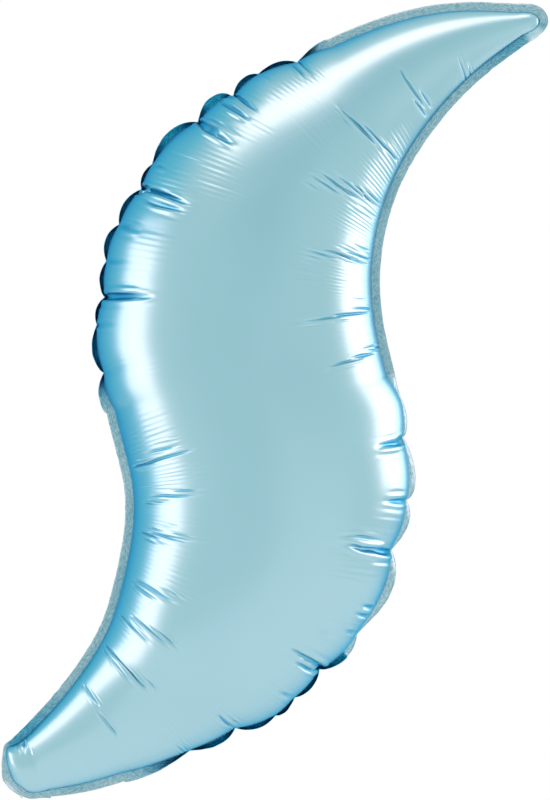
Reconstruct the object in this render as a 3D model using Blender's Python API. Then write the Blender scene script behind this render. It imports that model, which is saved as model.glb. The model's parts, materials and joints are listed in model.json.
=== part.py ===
"""Curve foil balloon: an S-shaped air-filled balloon of two welded foil films.

The seam plane is Y = 0, the front film faces -Y, and the tip points up and to the right. The
origin is the middle of the seam plane. Lengths are in metres, and in millimetres in the tables.

The outline is the band swept by a circle that runs along the middle line and changes its radius
on the way, so each station's two edge points are where its circle touches the outline. A rung is
the straight line across the balloon between those two points.
"""

from math import cos, exp, pi, radians, sin, sqrt

import bmesh
import bpy
import numpy as np
from mathutils import Vector

MM = 0.001

# Films, and the weld that joins them
WALL = 1.6 * MM                # solid stand-in for the thin foil
MARGIN_WIDTH = 9.4 * MM        # heat-sealed margin outside the seam line
MARGIN_THICK = 1.0 * MM
TONGUE_THICK = 0.4 * MM        # margin's inner edge, thinned to lie between the films' rims
TONGUE_REACH = WALL + 0.6 * MM
CLEARANCE = 0.3 * MM           # between pieces that touch
RIM_LIFT = TONGUE_THICK / 2 + CLEARANCE

# Inlet for the air at the tail's corner: two clear films in the weld
INLET_THICK = 0.6 * MM

# Distances inwards from the margin's outer edge: the edge itself, the step down to the tongue,
# and the tongue's inner edge
MARGIN_INSETS = (0.0, MARGIN_WIDTH - CLEARANCE, MARGIN_WIDTH + TONGUE_REACH)

# Middle line of the S from tail to tip
# columns: x, z, reach (half-width to the margin's outer edge), fullness (half-depth/half-width)
STATIONS_MM = (
    (-213, -341, 28.5, 0.62),
    (-174, -323, 43, 0.74),
    (-119, -287, 62, 0.80),
    (-65, -239, 84, 0.82),
    (-20, -185, 111, 0.83),
    (8, -119, 128, 0.83),
    (12, -50, 135, 0.83),
    (-4, 22, 136, 0.83),
    (-12, 80, 134, 0.83),
    (-3, 140, 124, 0.83),
    (27, 203, 105, 0.82),
    (75, 257, 80, 0.81),
    (129, 303, 60, 0.80),
    (190, 338, 40, 0.76),
    (248, 357, 20, 0.62),
)

# Ends past the first and last station
# columns: length over the end rung's half-length, bluntness (1 is an ellipse, less is squarer),
# skew (shift to the right edge at the end's tip, over the half-length)
TAIL_CAP = (0.38, 0.55, 0.14)
TIP_CAP = (1.20, 0.80, 0.0)
CAP_ROWS = 4

# Pinches, where the margin gathers on the outsides of the bends, and the swell between them
# columns: share of the middle line from tail to tip, depth in mm
LEFT_PINCHES = (
    (0.521, 8), (0.546, 5), (0.561, 9), (0.579, 4), (0.599, 4), (0.624, 8),
    (0.642, 3), (0.682, 9), (0.709, 10), (0.734, 4), (0.774, 9),
)
RIGHT_PINCHES = (
    (0.095, 4), (0.150, 8), (0.206, 9), (0.241, 4), (0.258, 8), (0.278, 13),
    (0.308, 7), (0.326, 8), (0.358, 10), (0.386, 5), (0.421, 8),
)
PINCH_SPREAD = 7.0 * MM        # along the edge, where a pinch has faded to about a third
SWELL = 3.5 * MM               # how far the edge swells out along the pinched stretch
SWELL_FADE = 0.04              # share of the middle line over which the swell comes in

# Mesh density
ROW_STEP = 18.0 * MM           # along the plain stretches
PINCH_STEP = 12.0 * MM         # between pinches
COLUMNS = 10

# Margin stretches along the two edges: name, side (1 left, -1 right), from and to, as shares
MARGIN_STRETCHES = (
    ("lower_left_margin", 1, 0.0, 0.44),
    ("upper_left_margin", 1, 0.44, 1.0),
    ("lower_right_margin", -1, 0.0, 0.56),
    ("upper_right_margin", -1, 0.56, 1.0),
)

# Finishes: name, colour, metallic, roughness
FINISHES = {
    "foil": ((0.30, 0.60, 0.70), 1.0, 0.25),
    "margin_foil": ((0.32, 0.48, 0.54), 1.0, 0.40),
    "clear_film": ((0.75, 0.85, 0.88), 0.0, 0.20),
}


class MiddleLine:
    """Smooth curve through the stations, with the values each share of it carries."""

    def __init__(self, stations_mm):
        self.rows = np.array(stations_mm, dtype=float)
        self.rows[:, :3] *= MM
        steps = np.hypot(*np.diff(self.rows[:, :2], axis=0).T)
        self.knots = np.concatenate(([0.0], np.cumsum(steps)))
        self.length = float(self.knots[-1])
        self.slopes = self._natural_slopes()

    def _natural_slopes(self):
        """Slopes at the knots of the natural cubic spline through all columns."""
        gaps = np.diff(self.knots)
        count = len(self.knots)
        system = np.zeros((count, count))
        wanted = np.zeros_like(self.rows)
        rises = np.diff(self.rows, axis=0) / gaps[:, None]
        system[0, :2] = 2.0, 1.0
        wanted[0] = 3.0 * rises[0]
        system[-1, -2:] = 1.0, 2.0
        wanted[-1] = 3.0 * rises[-1]
        for row in range(1, count - 1):
            before, after = gaps[row - 1], gaps[row]
            system[row, row - 1:row + 2] = after, 2.0 * (before + after), before
            wanted[row] = 3.0 * (after * rises[row - 1] + before * rises[row])
        return np.linalg.solve(system, wanted)

    def at(self, share):
        """Values (x, z, reach, fullness) and their slopes per metre at a share of the line."""
        place = min(max(share, 0.0), 1.0) * self.length
        span = int(np.clip(np.searchsorted(self.knots, place) - 1, 0, len(self.knots) - 2))
        gap = self.knots[span + 1] - self.knots[span]
        t = (place - self.knots[span]) / gap
        a, b = self.rows[span], self.rows[span + 1]
        da, db = self.slopes[span] * gap, self.slopes[span + 1] * gap
        value = (
            a * (2 * t**3 - 3 * t**2 + 1) + da * (t**3 - 2 * t**2 + t)
            + b * (3 * t**2 - 2 * t**3) + db * (t**3 - t**2)
        )
        slope = (
            a * (6 * t**2 - 6 * t) + da * (3 * t**2 - 4 * t + 1)
            + b * (6 * t - 6 * t**2) + db * (3 * t**2 - 2 * t)
        ) / gap
        return value, slope


class Rung:
    """Line across the balloon: its middle, its direction to the left, and its sizes."""

    def __init__(self, share, middle, left, ahead, half, depth, dome=1.0):
        self.share = share
        self.middle = middle
        self.left = left
        self.ahead = ahead
        self.half = half
        self.depth = depth
        self.dome = dome


LINE = MiddleLine(STATIONS_MM)


def draw_in(share, side):
    """How far the edge is drawn in by its pinches, less the swell between them."""
    pinches = LEFT_PINCHES if side > 0 else RIGHT_PINCHES
    first, last = pinches[0][0], pinches[-1][0]
    rise = min((share - first) / SWELL_FADE + 1.0, (last - share) / SWELL_FADE + 1.0, 1.0)
    total = -SWELL * max(rise, 0.0)
    for at, depth_mm in pinches:
        along = abs(share - at) * LINE.length
        total += depth_mm * MM * exp(-along / PINCH_SPREAD)
    return total


def rung_at(share, inset):
    """Rung of the outline that lies inset from the margin's outer edge."""
    value, slope = LINE.at(share)
    speed = sqrt(slope[0] ** 2 + slope[1] ** 2)
    ahead = Vector((slope[0], 0.0, slope[1])) / speed
    left = Vector((-ahead.z, 0.0, ahead.x))
    growth = slope[2] / speed
    reach = value[2] - inset
    middle = Vector((value[0], 0.0, value[1])) - ahead * (reach * growth)
    half = reach * sqrt(1.0 - growth * growth)
    depth = max(value[2] - MARGIN_WIDTH, 0.0) * value[3]
    return Rung(share, middle, left, ahead, half, depth)


def cap_rungs(end, inset):
    """Rungs that close an end, from the end station outwards; the last is the end's tip."""
    base = rung_at(end, inset)
    outer = rung_at(end, 0.0)
    forward = outer.ahead * (1.0 if end > 0.5 else -1.0)
    length_over, bluntness, skew = TIP_CAP if end > 0.5 else TAIL_CAP
    reach = length_over * outer.half
    reach -= inset + (base.middle - outer.middle).dot(forward)
    rungs = []
    for row in range(1, CAP_ROWS + 1):
        turn = pi / 2 * row / CAP_ROWS
        narrow = cos(turn) ** bluntness if row < CAP_ROWS else 0.25
        middle = base.middle + forward * (reach * sin(turn))
        middle -= base.left * (skew * base.half * sin(turn))
        half = base.half * narrow
        rungs.append(Rung(end, middle, base.left, forward, half, base.depth, cos(turn)))
    rungs[-1].dome = 0.0
    return rungs


def row_shares():
    """Shares of the middle line that get a rung: each pinch, and even steps between."""
    pinched = sorted(at for at, depth in LEFT_PINCHES + RIGHT_PINCHES)
    joints = {edge for name, side, start, end in MARGIN_STRETCHES for edge in (start, end)}
    stops = sorted(set(pinched) | joints)
    shares = [stops[0]]
    for low, high in zip(stops, stops[1:]):
        between_pinches = low >= pinched[0] and high <= pinched[-1]
        step = PINCH_STEP if between_pinches else ROW_STEP
        count = max(round((high - low) * LINE.length / step), 1)
        shares += [low + (high - low) * part / count for part in range(1, count + 1)]
    return shares


SHARES = row_shares()


def rungs_from_tail_to_tip(inset):
    """All rungs of the outline at this inset, with both caps."""
    tail = cap_rungs(0.0, inset)[::-1]
    tip = cap_rungs(1.0, inset)
    return tail + [rung_at(share, inset) for share in SHARES] + tip


def edge_point(rung, side):
    """Edge point of a rung with the pinches applied, in the seam plane."""
    pull = draw_in(rung.share, side)
    return rung.middle + rung.left * (side * (rung.half - pull))


def film_point(rung, across, bulge, facing):
    """Point of a film: across runs from -1 (right edge) to 1 (left edge)."""
    side = 1 if across > 0 else -1
    pull = draw_in(rung.share, side) * abs(across) ** 5
    place = rung.middle + rung.left * (across * rung.half - side * pull)
    height = bulge * rung.dome * sqrt(max(1.0 - across * across, 0.0))
    return place + Vector((0.0, facing * (RIM_LIFT + height), 0.0))


def finish(name):
    """Material by name."""
    material = bpy.data.materials.get(name)
    if material is None:
        colour, metallic, roughness = FINISHES[name]
        material = bpy.data.materials.new(name)
        material.use_nodes = True
        shader = material.node_tree.nodes["Principled BSDF"]
        shader.inputs["Base Color"].default_value = (*colour, 1.0)
        shader.inputs["Metallic"].default_value = metallic
        shader.inputs["Roughness"].default_value = roughness
    return material


def add_object(name, work, material_name):
    """Turn a bmesh into a named object with outward faces."""
    bmesh.ops.recalc_face_normals(work, faces=work.faces)
    bmesh.ops.triangulate(work, faces=work.faces)
    mesh = bpy.data.meshes.new(name)
    work.to_mesh(mesh)
    work.free()
    mesh.materials.append(finish(material_name))
    mesh.shade_smooth()
    mesh.set_sharp_from_angle(angle=radians(40))
    item = bpy.data.objects.new(name, mesh)
    bpy.context.scene.collection.objects.link(item)
    return item


def grid_faces(work, rows):
    """Quads over rows of vertices."""
    for low, high in zip(rows, rows[1:]):
        for column in range(len(low) - 1):
            work.faces.new((low[column], low[column + 1], high[column + 1], high[column]))


def add_film(name, facing):
    """One inflated film: a dished shell whose rim lies flat on the margin."""
    work = bmesh.new()
    skins = []
    for wall in (0.0, WALL):
        rows = []
        for rung in rungs_from_tail_to_tip(MARGIN_WIDTH + wall):
            line = []
            for column in range(COLUMNS + 1):
                across = sin(pi * (column / COLUMNS - 0.5))
                point = film_point(rung, across, rung.depth - wall, facing)
                line.append(work.verts.new(point))
            rows.append(line)
        grid_faces(work, rows)
        skins.append(rows)
    outer, inner = skins
    for column in (0, COLUMNS):
        edge_pair = [[row[column] for row in skin] for skin in (outer, inner)]
        grid_faces(work, edge_pair)
    for row in (0, -1):
        grid_faces(work, [outer[row], inner[row]])
    return add_object(name, work, "foil")


def add_margin(name, lines, thickness, material_name):
    """Flat strip in the seam plane with a thinner tongue along its inner edge.

    lines are its outer edge, its step and its inner edge, each from one end to the other.
    """
    outer, step, inner = trimmed(lines)
    edge, tongue = thickness / 2, TONGUE_THICK / 2
    section = (
        (outer, -edge), (step, -edge), (step, -tongue), (inner, -tongue),
        (inner, tongue), (step, tongue), (step, edge), (outer, edge),
    )
    work = bmesh.new()
    rails = []
    for line, lift in section:
        rails.append([work.verts.new(point + Vector((0.0, lift, 0.0))) for point in line])
    grid_faces(work, rails + rails[:1])
    for end in (0, -1):
        work.faces.new([rail[end] for rail in rails])
    return add_object(name, work, material_name)


def trimmed(lines):
    """The lines of a stretch, shortened at each end so that neighbours keep their gap."""
    shorter = []
    for line in lines:
        points = [point.copy() for point in line]
        for end, beside in ((0, 1), (-1, -2)):
            direction = (points[beside] - points[end]).normalized()
            points[end] += direction * (CLEARANCE / 2)
        shorter.append(points)
    return shorter


def add_edge_margins():
    """Margin along both edges, in stretches that meet end to end."""
    for name, side, start, end in MARGIN_STRETCHES:
        shares = [share for share in SHARES if start <= share <= end]
        lines = [
            [edge_point(rung_at(share, inset), side) for share in shares]
            for inset in MARGIN_INSETS
        ]
        add_margin(name, lines, MARGIN_THICK, "margin_foil")


def cap_line(end, inset):
    """Line round an end in the seam plane, from its left edge to its right edge."""
    base = rung_at(end, inset)
    rungs = cap_rungs(end, inset)
    left = [edge_point(base, 1)]
    left += [rung.middle + rung.left * rung.half for rung in rungs]
    right = [rung.middle - rung.left * rung.half for rung in rungs[::-1]]
    right += [edge_point(base, -1)]
    return left + right


def add_end_margins():
    """Margin round both ends; at the tail it stops at the inlet's corner."""
    tip = [cap_line(1.0, inset) for inset in MARGIN_INSETS]
    add_margin("tip_margin", tip, MARGIN_THICK, "margin_foil")
    tail = [cap_line(0.0, inset) for inset in MARGIN_INSETS]
    corner = CAP_ROWS + 1
    add_margin("tail_margin", [line[:corner + 1] for line in tail], MARGIN_THICK, "margin_foil")
    add_margin("inlet_film", [line[corner:] for line in tail], INLET_THICK, "clear_film")


def main():
    for item in list(bpy.data.objects):
        bpy.data.objects.remove(item, do_unlink=True)
    add_film("front_film", -1)
    add_film("back_film", 1)
    add_edge_margins()
    add_end_margins()


main()
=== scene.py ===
"""Looks of the curve foil balloon: its two films, the welded margin and the inlet, with studio.

The films are cut in code, laid out as grids of points, and blown up by a small solver: every link
of a film keeps the length that it was cut to while air pushes the film out, so the spare length
along the bends has to fold. Lengths are in metres, except in the tables that say millimetres.
"""
import json
import logging
import math
from collections.abc import Iterable
from dataclasses import dataclass, field
from enum import Enum

import bpy
import numpy as np
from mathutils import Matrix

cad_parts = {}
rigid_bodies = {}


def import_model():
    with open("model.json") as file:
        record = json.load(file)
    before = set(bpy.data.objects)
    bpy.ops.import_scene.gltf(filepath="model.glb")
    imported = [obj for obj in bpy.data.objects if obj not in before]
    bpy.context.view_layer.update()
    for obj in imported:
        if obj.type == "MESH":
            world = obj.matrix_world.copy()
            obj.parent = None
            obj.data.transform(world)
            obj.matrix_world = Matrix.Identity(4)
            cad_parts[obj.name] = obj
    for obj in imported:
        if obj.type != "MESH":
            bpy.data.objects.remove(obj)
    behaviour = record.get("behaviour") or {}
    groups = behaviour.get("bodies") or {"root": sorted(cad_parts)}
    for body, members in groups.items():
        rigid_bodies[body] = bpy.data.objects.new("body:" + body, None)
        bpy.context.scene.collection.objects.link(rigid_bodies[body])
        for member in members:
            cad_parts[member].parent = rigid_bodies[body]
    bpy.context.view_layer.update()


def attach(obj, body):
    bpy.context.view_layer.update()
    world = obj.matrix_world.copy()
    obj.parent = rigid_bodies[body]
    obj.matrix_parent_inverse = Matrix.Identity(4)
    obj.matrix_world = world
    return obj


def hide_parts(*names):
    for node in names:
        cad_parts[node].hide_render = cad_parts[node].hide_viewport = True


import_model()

MM = 0.001
MIRROR = np.array([1, -1, 1], np.float32)[:, None, None]
LOG = logging.getLogger("balloon")


class Face(Enum):
    """Film of the balloon, by the sign of Y that it swells to."""

    FRONT = -1.0
    BACK = 1.0


class Edge(Enum):
    """Long edge of the balloon, by the sign of a rung's left direction."""

    LEFT = 1.0
    RIGHT = -1.0


# Helpers


def write_attribute(piece: bpy.types.Object, name: str, values: np.ndarray) -> None:
    """Stores one value or vector per point on a mesh."""
    kind, slot = ("FLOAT", "value") if values.ndim == 1 else ("FLOAT_VECTOR", "vector")
    made = piece.data.attributes.new(name, kind, "POINT")
    made.data.foreach_set(slot, np.ascontiguousarray(values, dtype=np.float32).ravel())


def apply_modifier(piece: bpy.types.Object, kind: str, **settings: float | int | bool | str) -> None:
    """Adds a modifier to a piece and applies it.

    Args:
        piece: The piece.
        kind: Blender's type of the modifier.
        **settings: Its settings by name.
    """
    bpy.ops.object.select_all(action="DESELECT")
    piece.select_set(True)
    bpy.context.view_layer.objects.active = piece
    modifier = piece.modifiers.new(kind.title(), kind)
    for name, value in settings.items():
        setattr(modifier, name, value)
    bpy.ops.object.modifier_apply(modifier=modifier.name)


def swing(places: np.ndarray, knots: np.ndarray, values: np.ndarray) -> np.ndarray:
    """Rounded interpolation of values given at rising knots."""
    index = np.clip(np.searchsorted(knots, places) - 1, 0, len(knots) - 2)
    t = np.clip((places - knots[index]) / (knots[index + 1] - knots[index]), 0.0, 1.0)
    mix = 0.5 - 0.5 * np.cos(math.pi * t)
    return values[index] * (1.0 - mix) + values[index + 1] * mix


def wander(arc: np.ndarray, wave: float, seed: int) -> np.ndarray:
    """Smooth closed noise along a loop, about one unit high.

    Args:
        arc: Metres along the loop.
        wave: Typical length of a swing.
        seed: Seed of the noise.

    Returns:
        The noise at those places.
    """
    knots = max(int(arc[-1] / wave), 4)
    values = np.random.default_rng(seed).normal(0.0, 1.0, knots)
    values = np.append(values, values[0])
    return swing(arc, np.linspace(0.0, arc[-1], knots + 1), values)


# Outline


@dataclass(frozen=True)
class EndCap:
    """Seam of an end, as rungs that take over from the middle line's.

    Attributes:
        start: Share of the middle line where they take over.
        rungs: Per rung the x and z of its left end, those of its right end, and the margin's
            width at both ends, in mm.
        rows: Rows of faces along them.
        fullness: Depth of a film over half a rung's length.
    """

    start: float
    rungs: tuple[tuple[float, float, float, float, float, float], ...]
    rows: int
    fullness: float = 0.62

    def follow(self, left: np.ndarray, right: np.ndarray, margin: float) -> tuple[np.ndarray, ...]:
        """Runs rungs at even steps from a first one to the end.

        Args:
            left: Left end of the rung that they start at, as x and z.
            right: Its right end.
            margin: Width of the margin there.

        Returns:
            Middles, left directions, half-lengths, depths and margins of the rungs.
        """
        table = np.array([[*left, *right, margin, margin], *(np.array(rung) * MM for rung in self.rungs)])
        moves = np.diff(table[:, :4], axis=0)
        steps = np.maximum(np.hypot(moves[:, 0], moves[:, 1]), np.hypot(moves[:, 2], moves[:, 3]))
        knots = np.concatenate(([0.0], np.cumsum(steps)))
        places = np.linspace(0.0, knots[-1], self.rows + 1)
        even = np.stack([np.interp(places, knots, column) for column in table.T], axis=1)
        for _ in range(2):
            even[1:-1] = 0.25 * even[:-2] + 0.5 * even[1:-1] + 0.25 * even[2:]
        even = even[1:]
        gap = even[:, 0:2] - even[:, 2:4]
        length = np.hypot(gap[:, 0], gap[:, 1])
        dome = np.sqrt(np.maximum(1.0 - (places[1:] / knots[-1]) ** 4, 0.0))
        depth = self.fullness * 0.5 * length * dome
        return 0.5 * (even[:, 0:2] + even[:, 2:4]), gap / length[:, None], 0.5 * length, depth, even[:, 4:]


@dataclass
class Rungs:
    """Lines across the balloon along its seam, one per row from the tail to the tip.

    Attributes:
        middles: Middle of each rung as x and z.
        lefts: Direction of its left end as x and z.
        halves: Half its length.
        depths: How far a film swells over its middle.
        shares: Share of the middle line.
        places: Metres along the balloon from the tail's end.
        margins: Width of the margin that shows at both ends.
    """

    middles: np.ndarray
    lefts: np.ndarray
    halves: np.ndarray
    depths: np.ndarray
    shares: np.ndarray
    places: np.ndarray
    margins: np.ndarray


@dataclass
class Outline:
    """Plan of the balloon in the seam plane: a middle line, a changing width and its notches.

    Attributes:
        stations: Points of the middle line in mm: x, z, reach to the margin's outer edge, and
            fullness, the depth over the half-width.
        scallops: Per edge, the gathered notches and the lobes between them by turns, each as a
            share of the middle line and how far it stands out of the plain edge in mm.
        tail: Shape of the tail's end.
        tip: Shape of the tip's end.
        margin: Width of the welded margin.
        bulge: How much of a lobe the seam follows.
        roundness: Power of a lobe's sine, rounder when it is under 1.
        first: Place where the tail's cap starts.
        toe: How much further out the right seam runs at the tail.
        toe_span: Share of the middle line where that starts, and the run over which it grows.
        fade: Share of the middle line over which the section turns blunt at a gathered stretch.
        crumples: Where the margin is crumpled, in mm: x, z and how far that reaches.
    """

    stations: tuple[tuple[float, ...], ...] = (
        (-213, -341, 28.5, 0.62), (-174, -323, 43, 0.74), (-119, -287, 62, 0.80),
        (-65, -239, 84, 0.82), (-20, -185, 111, 0.83), (8, -119, 128, 0.83),
        (12, -50, 135, 0.83), (-4, 22, 136, 0.83), (-12, 80, 134, 0.83),
        (-3, 140, 124, 0.83), (27, 203, 105, 0.82), (75, 257, 80, 0.81),
        (129, 303, 60, 0.80), (190, 338, 40, 0.76), (248, 357, 20, 0.62),
    )
    scallops: dict[Edge, tuple[tuple[float, float], ...]] = field(default_factory=lambda: {
        Edge.LEFT: (
            (0.503, 0.0), (0.517, 3.6), (0.5295, -6.5), (0.542, 4.0), (0.556, -2.6), (0.563, 0.9),
            (0.5695, -8.0), (0.579, 1.3), (0.588, -3.0), (0.599, 5.6), (0.609, -3.4), (0.621, 2.8),
            (0.633, -7.4), (0.6415, 0.5), (0.650, -2.8), (0.671, 6.2), (0.687, -9.0), (0.704, 3.4),
            (0.715, -10.6), (0.730, 1.6), (0.7425, -3.3), (0.762, 0.4), (0.779, -9.6), (0.803, -0.6),
            (0.818, 0.0),
        ),
        Edge.RIGHT: (
            (0.092, 0.0), (0.121, 2.4), (0.160, -5.0), (0.191, 3.0), (0.216, -7.4), (0.232, 4.2),
            (0.2475, -0.3), (0.2545, 3.3), (0.265, -5.2), (0.275, -0.6), (0.287, -10.6), (0.300, 3.4),
            (0.314, -3.6), (0.345, 7.4), (0.365, -7.8), (0.382, 4.8), (0.394, -3.1), (0.406, 6.6),
            (0.4285, -5.8), (0.437, 2.2), (0.452, -1.2), (0.464, 0.0), (0.472, 0.0),
        ),
    })
    tail: EndCap = EndCap(0.022, (
        (-222.0, -320.0, -198.5, -363.2, 7.3, 6.2), (-229.5, -321.5, -208.5, -363.8, 4.2, 6.4),
        (-230.0, -327.0, -215.5, -358.5, 4.2, 9.0), (-228.6, -336.0, -222.4, -354.2, 7.0, 8.4),
        (-227.0, -343.5, -226.2, -348.8, 8.6, 9.0),
    ), 44)
    tip: EndCap = EndCap(1.0, (
        (251.9, 368.3, 257.1, 349.4, 9.1, 8.6), (261.3, 368.1, 262.9, 352.4, 9.1, 8.2),
        (267.2, 365.8, 267.5, 355.4, 8.9, 7.6), (269.8, 362.0, 269.9, 359.8, 8.6, 8.4),
    ), 26)
    margin: float = 9.1 * MM
    bulge: float = 0.36
    roundness: float = 0.65
    first: float = 23.8 * MM
    toe: float = 2.0 * MM
    toe_span: tuple[float, float] = (0.08, 0.0575)
    fade: float = 0.12
    crumples: tuple[tuple[float, float, float], ...] = ((264.0, 351.0, 9.0), (-222.0, -356.0, 7.0))

    def __post_init__(self) -> None:
        """Fits a natural cubic spline through the stations."""
        self.table = np.array(self.stations, dtype=float)
        self.table[:, :3] *= MM
        steps = np.hypot(*np.diff(self.table[:, :2], axis=0).T)
        self.knots = np.concatenate(([0.0], np.cumsum(steps)))
        gaps = np.diff(self.knots)
        rises = np.diff(self.table, axis=0) / gaps[:, None]
        count = len(self.knots)
        system = np.zeros((count, count))
        wanted = np.zeros_like(self.table)
        system[0, :2], system[-1, -2:] = (2.0, 1.0), (1.0, 2.0)
        wanted[0], wanted[-1] = 3.0 * rises[0], 3.0 * rises[-1]
        for row in range(1, count - 1):
            before, after = gaps[row - 1], gaps[row]
            system[row, row - 1:row + 2] = after, 2.0 * (before + after), before
            wanted[row] = 3.0 * (after * rises[row - 1] + before * rises[row])
        self.slopes = np.linalg.solve(system, wanted)

    def at(self, shares: np.ndarray) -> tuple[np.ndarray, np.ndarray]:
        """Reads the middle line.

        Args:
            shares: Shares of its length.

        Returns:
            The station values and their slopes per metre, one row per share.
        """
        place = np.clip(shares, 0.0, 1.0) * self.knots[-1]
        span = np.clip(np.searchsorted(self.knots, place) - 1, 0, len(self.knots) - 2)
        gap = (self.knots[span + 1] - self.knots[span])[:, None]
        t = (place[:, None] - self.knots[span][:, None]) / gap
        a, b = self.table[span], self.table[span + 1]
        da, db = self.slopes[span] * gap, self.slopes[span + 1] * gap
        value = (a * (2 * t**3 - 3 * t**2 + 1) + da * (t**3 - 2 * t**2 + t)
                 + b * (3 * t**2 - 2 * t**3) + db * (t**3 - t**2))
        slope = (a * (6 * t**2 - 6 * t) + da * (3 * t**2 - 4 * t + 1)
                 + b * (6 * t - 6 * t**2) + db * (3 * t**2 - 2 * t)) / gap
        return value, slope

    def _line_rungs(self, shares: np.ndarray, inset: float) -> tuple[np.ndarray, ...]:
        """Rungs between the end stations.

        Args:
            shares: Shares of the middle line.
            inset: Distance inwards from the margin's outer edge.

        Returns:
            Middles, left directions, directions ahead and half-lengths.
        """
        value, slope = self.at(shares)
        speed = np.hypot(slope[:, 0], slope[:, 1])
        ahead = slope[:, :2] / speed[:, None]
        left = np.stack([-ahead[:, 1], ahead[:, 0]], axis=1)
        growth = slope[:, 2] / speed
        reach = value[:, 2] - inset
        middle = value[:, :2] - ahead * (reach * growth)[:, None]
        return middle, left, ahead, reach * np.sqrt(1.0 - growth**2)

    def rungs(self, count: int) -> Rungs:
        """Rungs of the seam line, with both ends' caps.

        Args:
            count: How many rungs stand between the end stations.

        Returns:
            The rungs from the tail's end to the tip's.
        """
        shares = np.linspace(0.0, 1.0, count)
        shares = shares[(shares >= self.tail.start) & (shares <= self.tip.start)]
        middles, lefts, _, halves = self._line_rungs(shares, self.margin)
        values, _ = self.at(shares)
        depths = np.maximum(values[:, 2] - self.margin, 0.0) * values[:, 3]
        margins = np.stack([self.margin_width(shares, edge) for edge in Edge], axis=1)
        parts = [[middles, lefts, halves, depths, shares, margins]]
        for cap, row in ((self.tail, 0), (self.tip, -1)):
            reach = [halves[row] + self.seam_shift(shares[[row]], edge)[0] for edge in Edge]
            ends = [middles[row] + edge.value * far * lefts[row] for edge, far in zip(Edge, reach)]
            middle, left, half, depth, margin = cap.follow(*ends, self.margin)
            joint = depths[row] / (cap.fullness * halves[row])
            depth *= 1.0 + (joint - 1.0) * np.linspace(1.0, 0.0, cap.rows)
            part = [middle, left, half, depth, np.full(cap.rows, 0.0 if row == 0 else 1.0), margin]
            if row:
                parts.append(part)
            else:
                parts.insert(0, [values[::-1] for values in part])
        joined = [np.concatenate(columns) for columns in zip(*parts)]
        ends = [joined[0] + edge.value * joined[2][:, None] * joined[1] for edge in Edge]
        steps = np.hypot(*np.diff(joined[0], axis=0).T)
        widest = np.maximum(*(np.hypot(*np.diff(end, axis=0).T) for end in ends))
        steps[:self.tail.rows] = widest[:self.tail.rows]
        places = np.concatenate(([0.0], np.cumsum(steps)))
        places += self.first - places[self.tail.rows]
        return Rungs(*joined[:5], places, joined[5])

    def blunt(self, shares: np.ndarray, edge: Edge) -> np.ndarray:
        """How blunt the section is on an edge's side, from 0 to 1, at shares of the line."""
        places = [share for share, _ in self.scallops[edge]]
        rise = np.clip((shares - places[0]) / self.fade + 0.5, 0.0, 1.0)
        fall = np.clip((places[-1] - shares) / self.fade + 0.5, 0.0, 1.0)
        return (rise * fall) ** 2 * (3.0 - 2.0 * rise * fall)

    def notches(self, edge: Edge) -> tuple[tuple[float, float], ...]:
        """Gathered notches of an edge between its first and last, as share and offset."""
        return self.scallops[edge][2:-2:2]

    def gathered(self, shares: np.ndarray, edge: Edge) -> np.ndarray:
        """How much of the gathered stretch is there, from 0 to 1, at shares of the line."""
        places = [share for share, _ in self.scallops[edge]]
        rise = (shares - places[0]) / (places[2] - places[0])
        fall = (places[-1] - shares) / (places[-1] - places[-3])
        return np.clip(np.minimum(rise, fall), 0.0, 1.0)

    def lobes(self, shares: np.ndarray, edge: Edge) -> tuple[np.ndarray, np.ndarray]:
        """Chord from notch to notch and the lobe over it, out of the plain edge.

        Args:
            shares: Shares of the middle line.
            edge: Which long edge.

        Returns:
            The chord's offset and the lobe's height over the chord, in metres.
        """
        table = self.scallops[edge]
        places, offsets = np.array(table[::2]).T
        chord = np.interp(shares, places, offsets)
        height = np.zeros_like(shares)
        for first, top, last in zip(table[:-1:2], table[1::2], table[2::2]):
            t = np.clip((shares - first[0]) / (last[0] - first[0]), 0.0, 1.0)
            peak = (top[0] - first[0]) / (last[0] - first[0])
            even = t ** (math.log(0.5) / math.log(peak))
            middle = first[1] + (last[1] - first[1]) * peak
            height += (top[1] - middle) * np.sin(math.pi * even) ** self.roundness
        return chord * MM, height * MM

    def seam_shift(self, shares: np.ndarray, edge: Edge) -> np.ndarray:
        """How far the seam stands out past its plain inset."""
        chord, height = self.lobes(shares, edge)
        shift = self.gathered(shares, edge) * (self.margin + chord + self.bulge * height)
        if edge is Edge.RIGHT:
            start, run = self.toe_span
            shift += self.toe * np.clip((start - shares) / run, 0.0, 1.0) ** 2 * (shares > 0.0)
        return shift

    def margin_width(self, shares: np.ndarray, edge: Edge) -> np.ndarray:
        """How much of the margin's width shows in plan; the rest is curled up."""
        chord, height = self.lobes(shares, edge)
        outer = chord + height
        return np.maximum(self.margin + outer - self.seam_shift(shares, edge), 0.0)


# Creases


# Skew of a fold's fullest place to its start, fullness of its lens, and how deep it starts out
FOLD_SKEW = 0.8
FOLD_FULLNESS = 0.6
FOLD_DEPTH = 0.8
# How unevenly ripples stand in their patch: shift of a crest, sizes, and shift of a ripple's end
RIPPLE_JITTER = 0.2
RIPPLE_SIZES = (0.35, 1.15)
RIPPLE_SHIFT = 0.25


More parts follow.
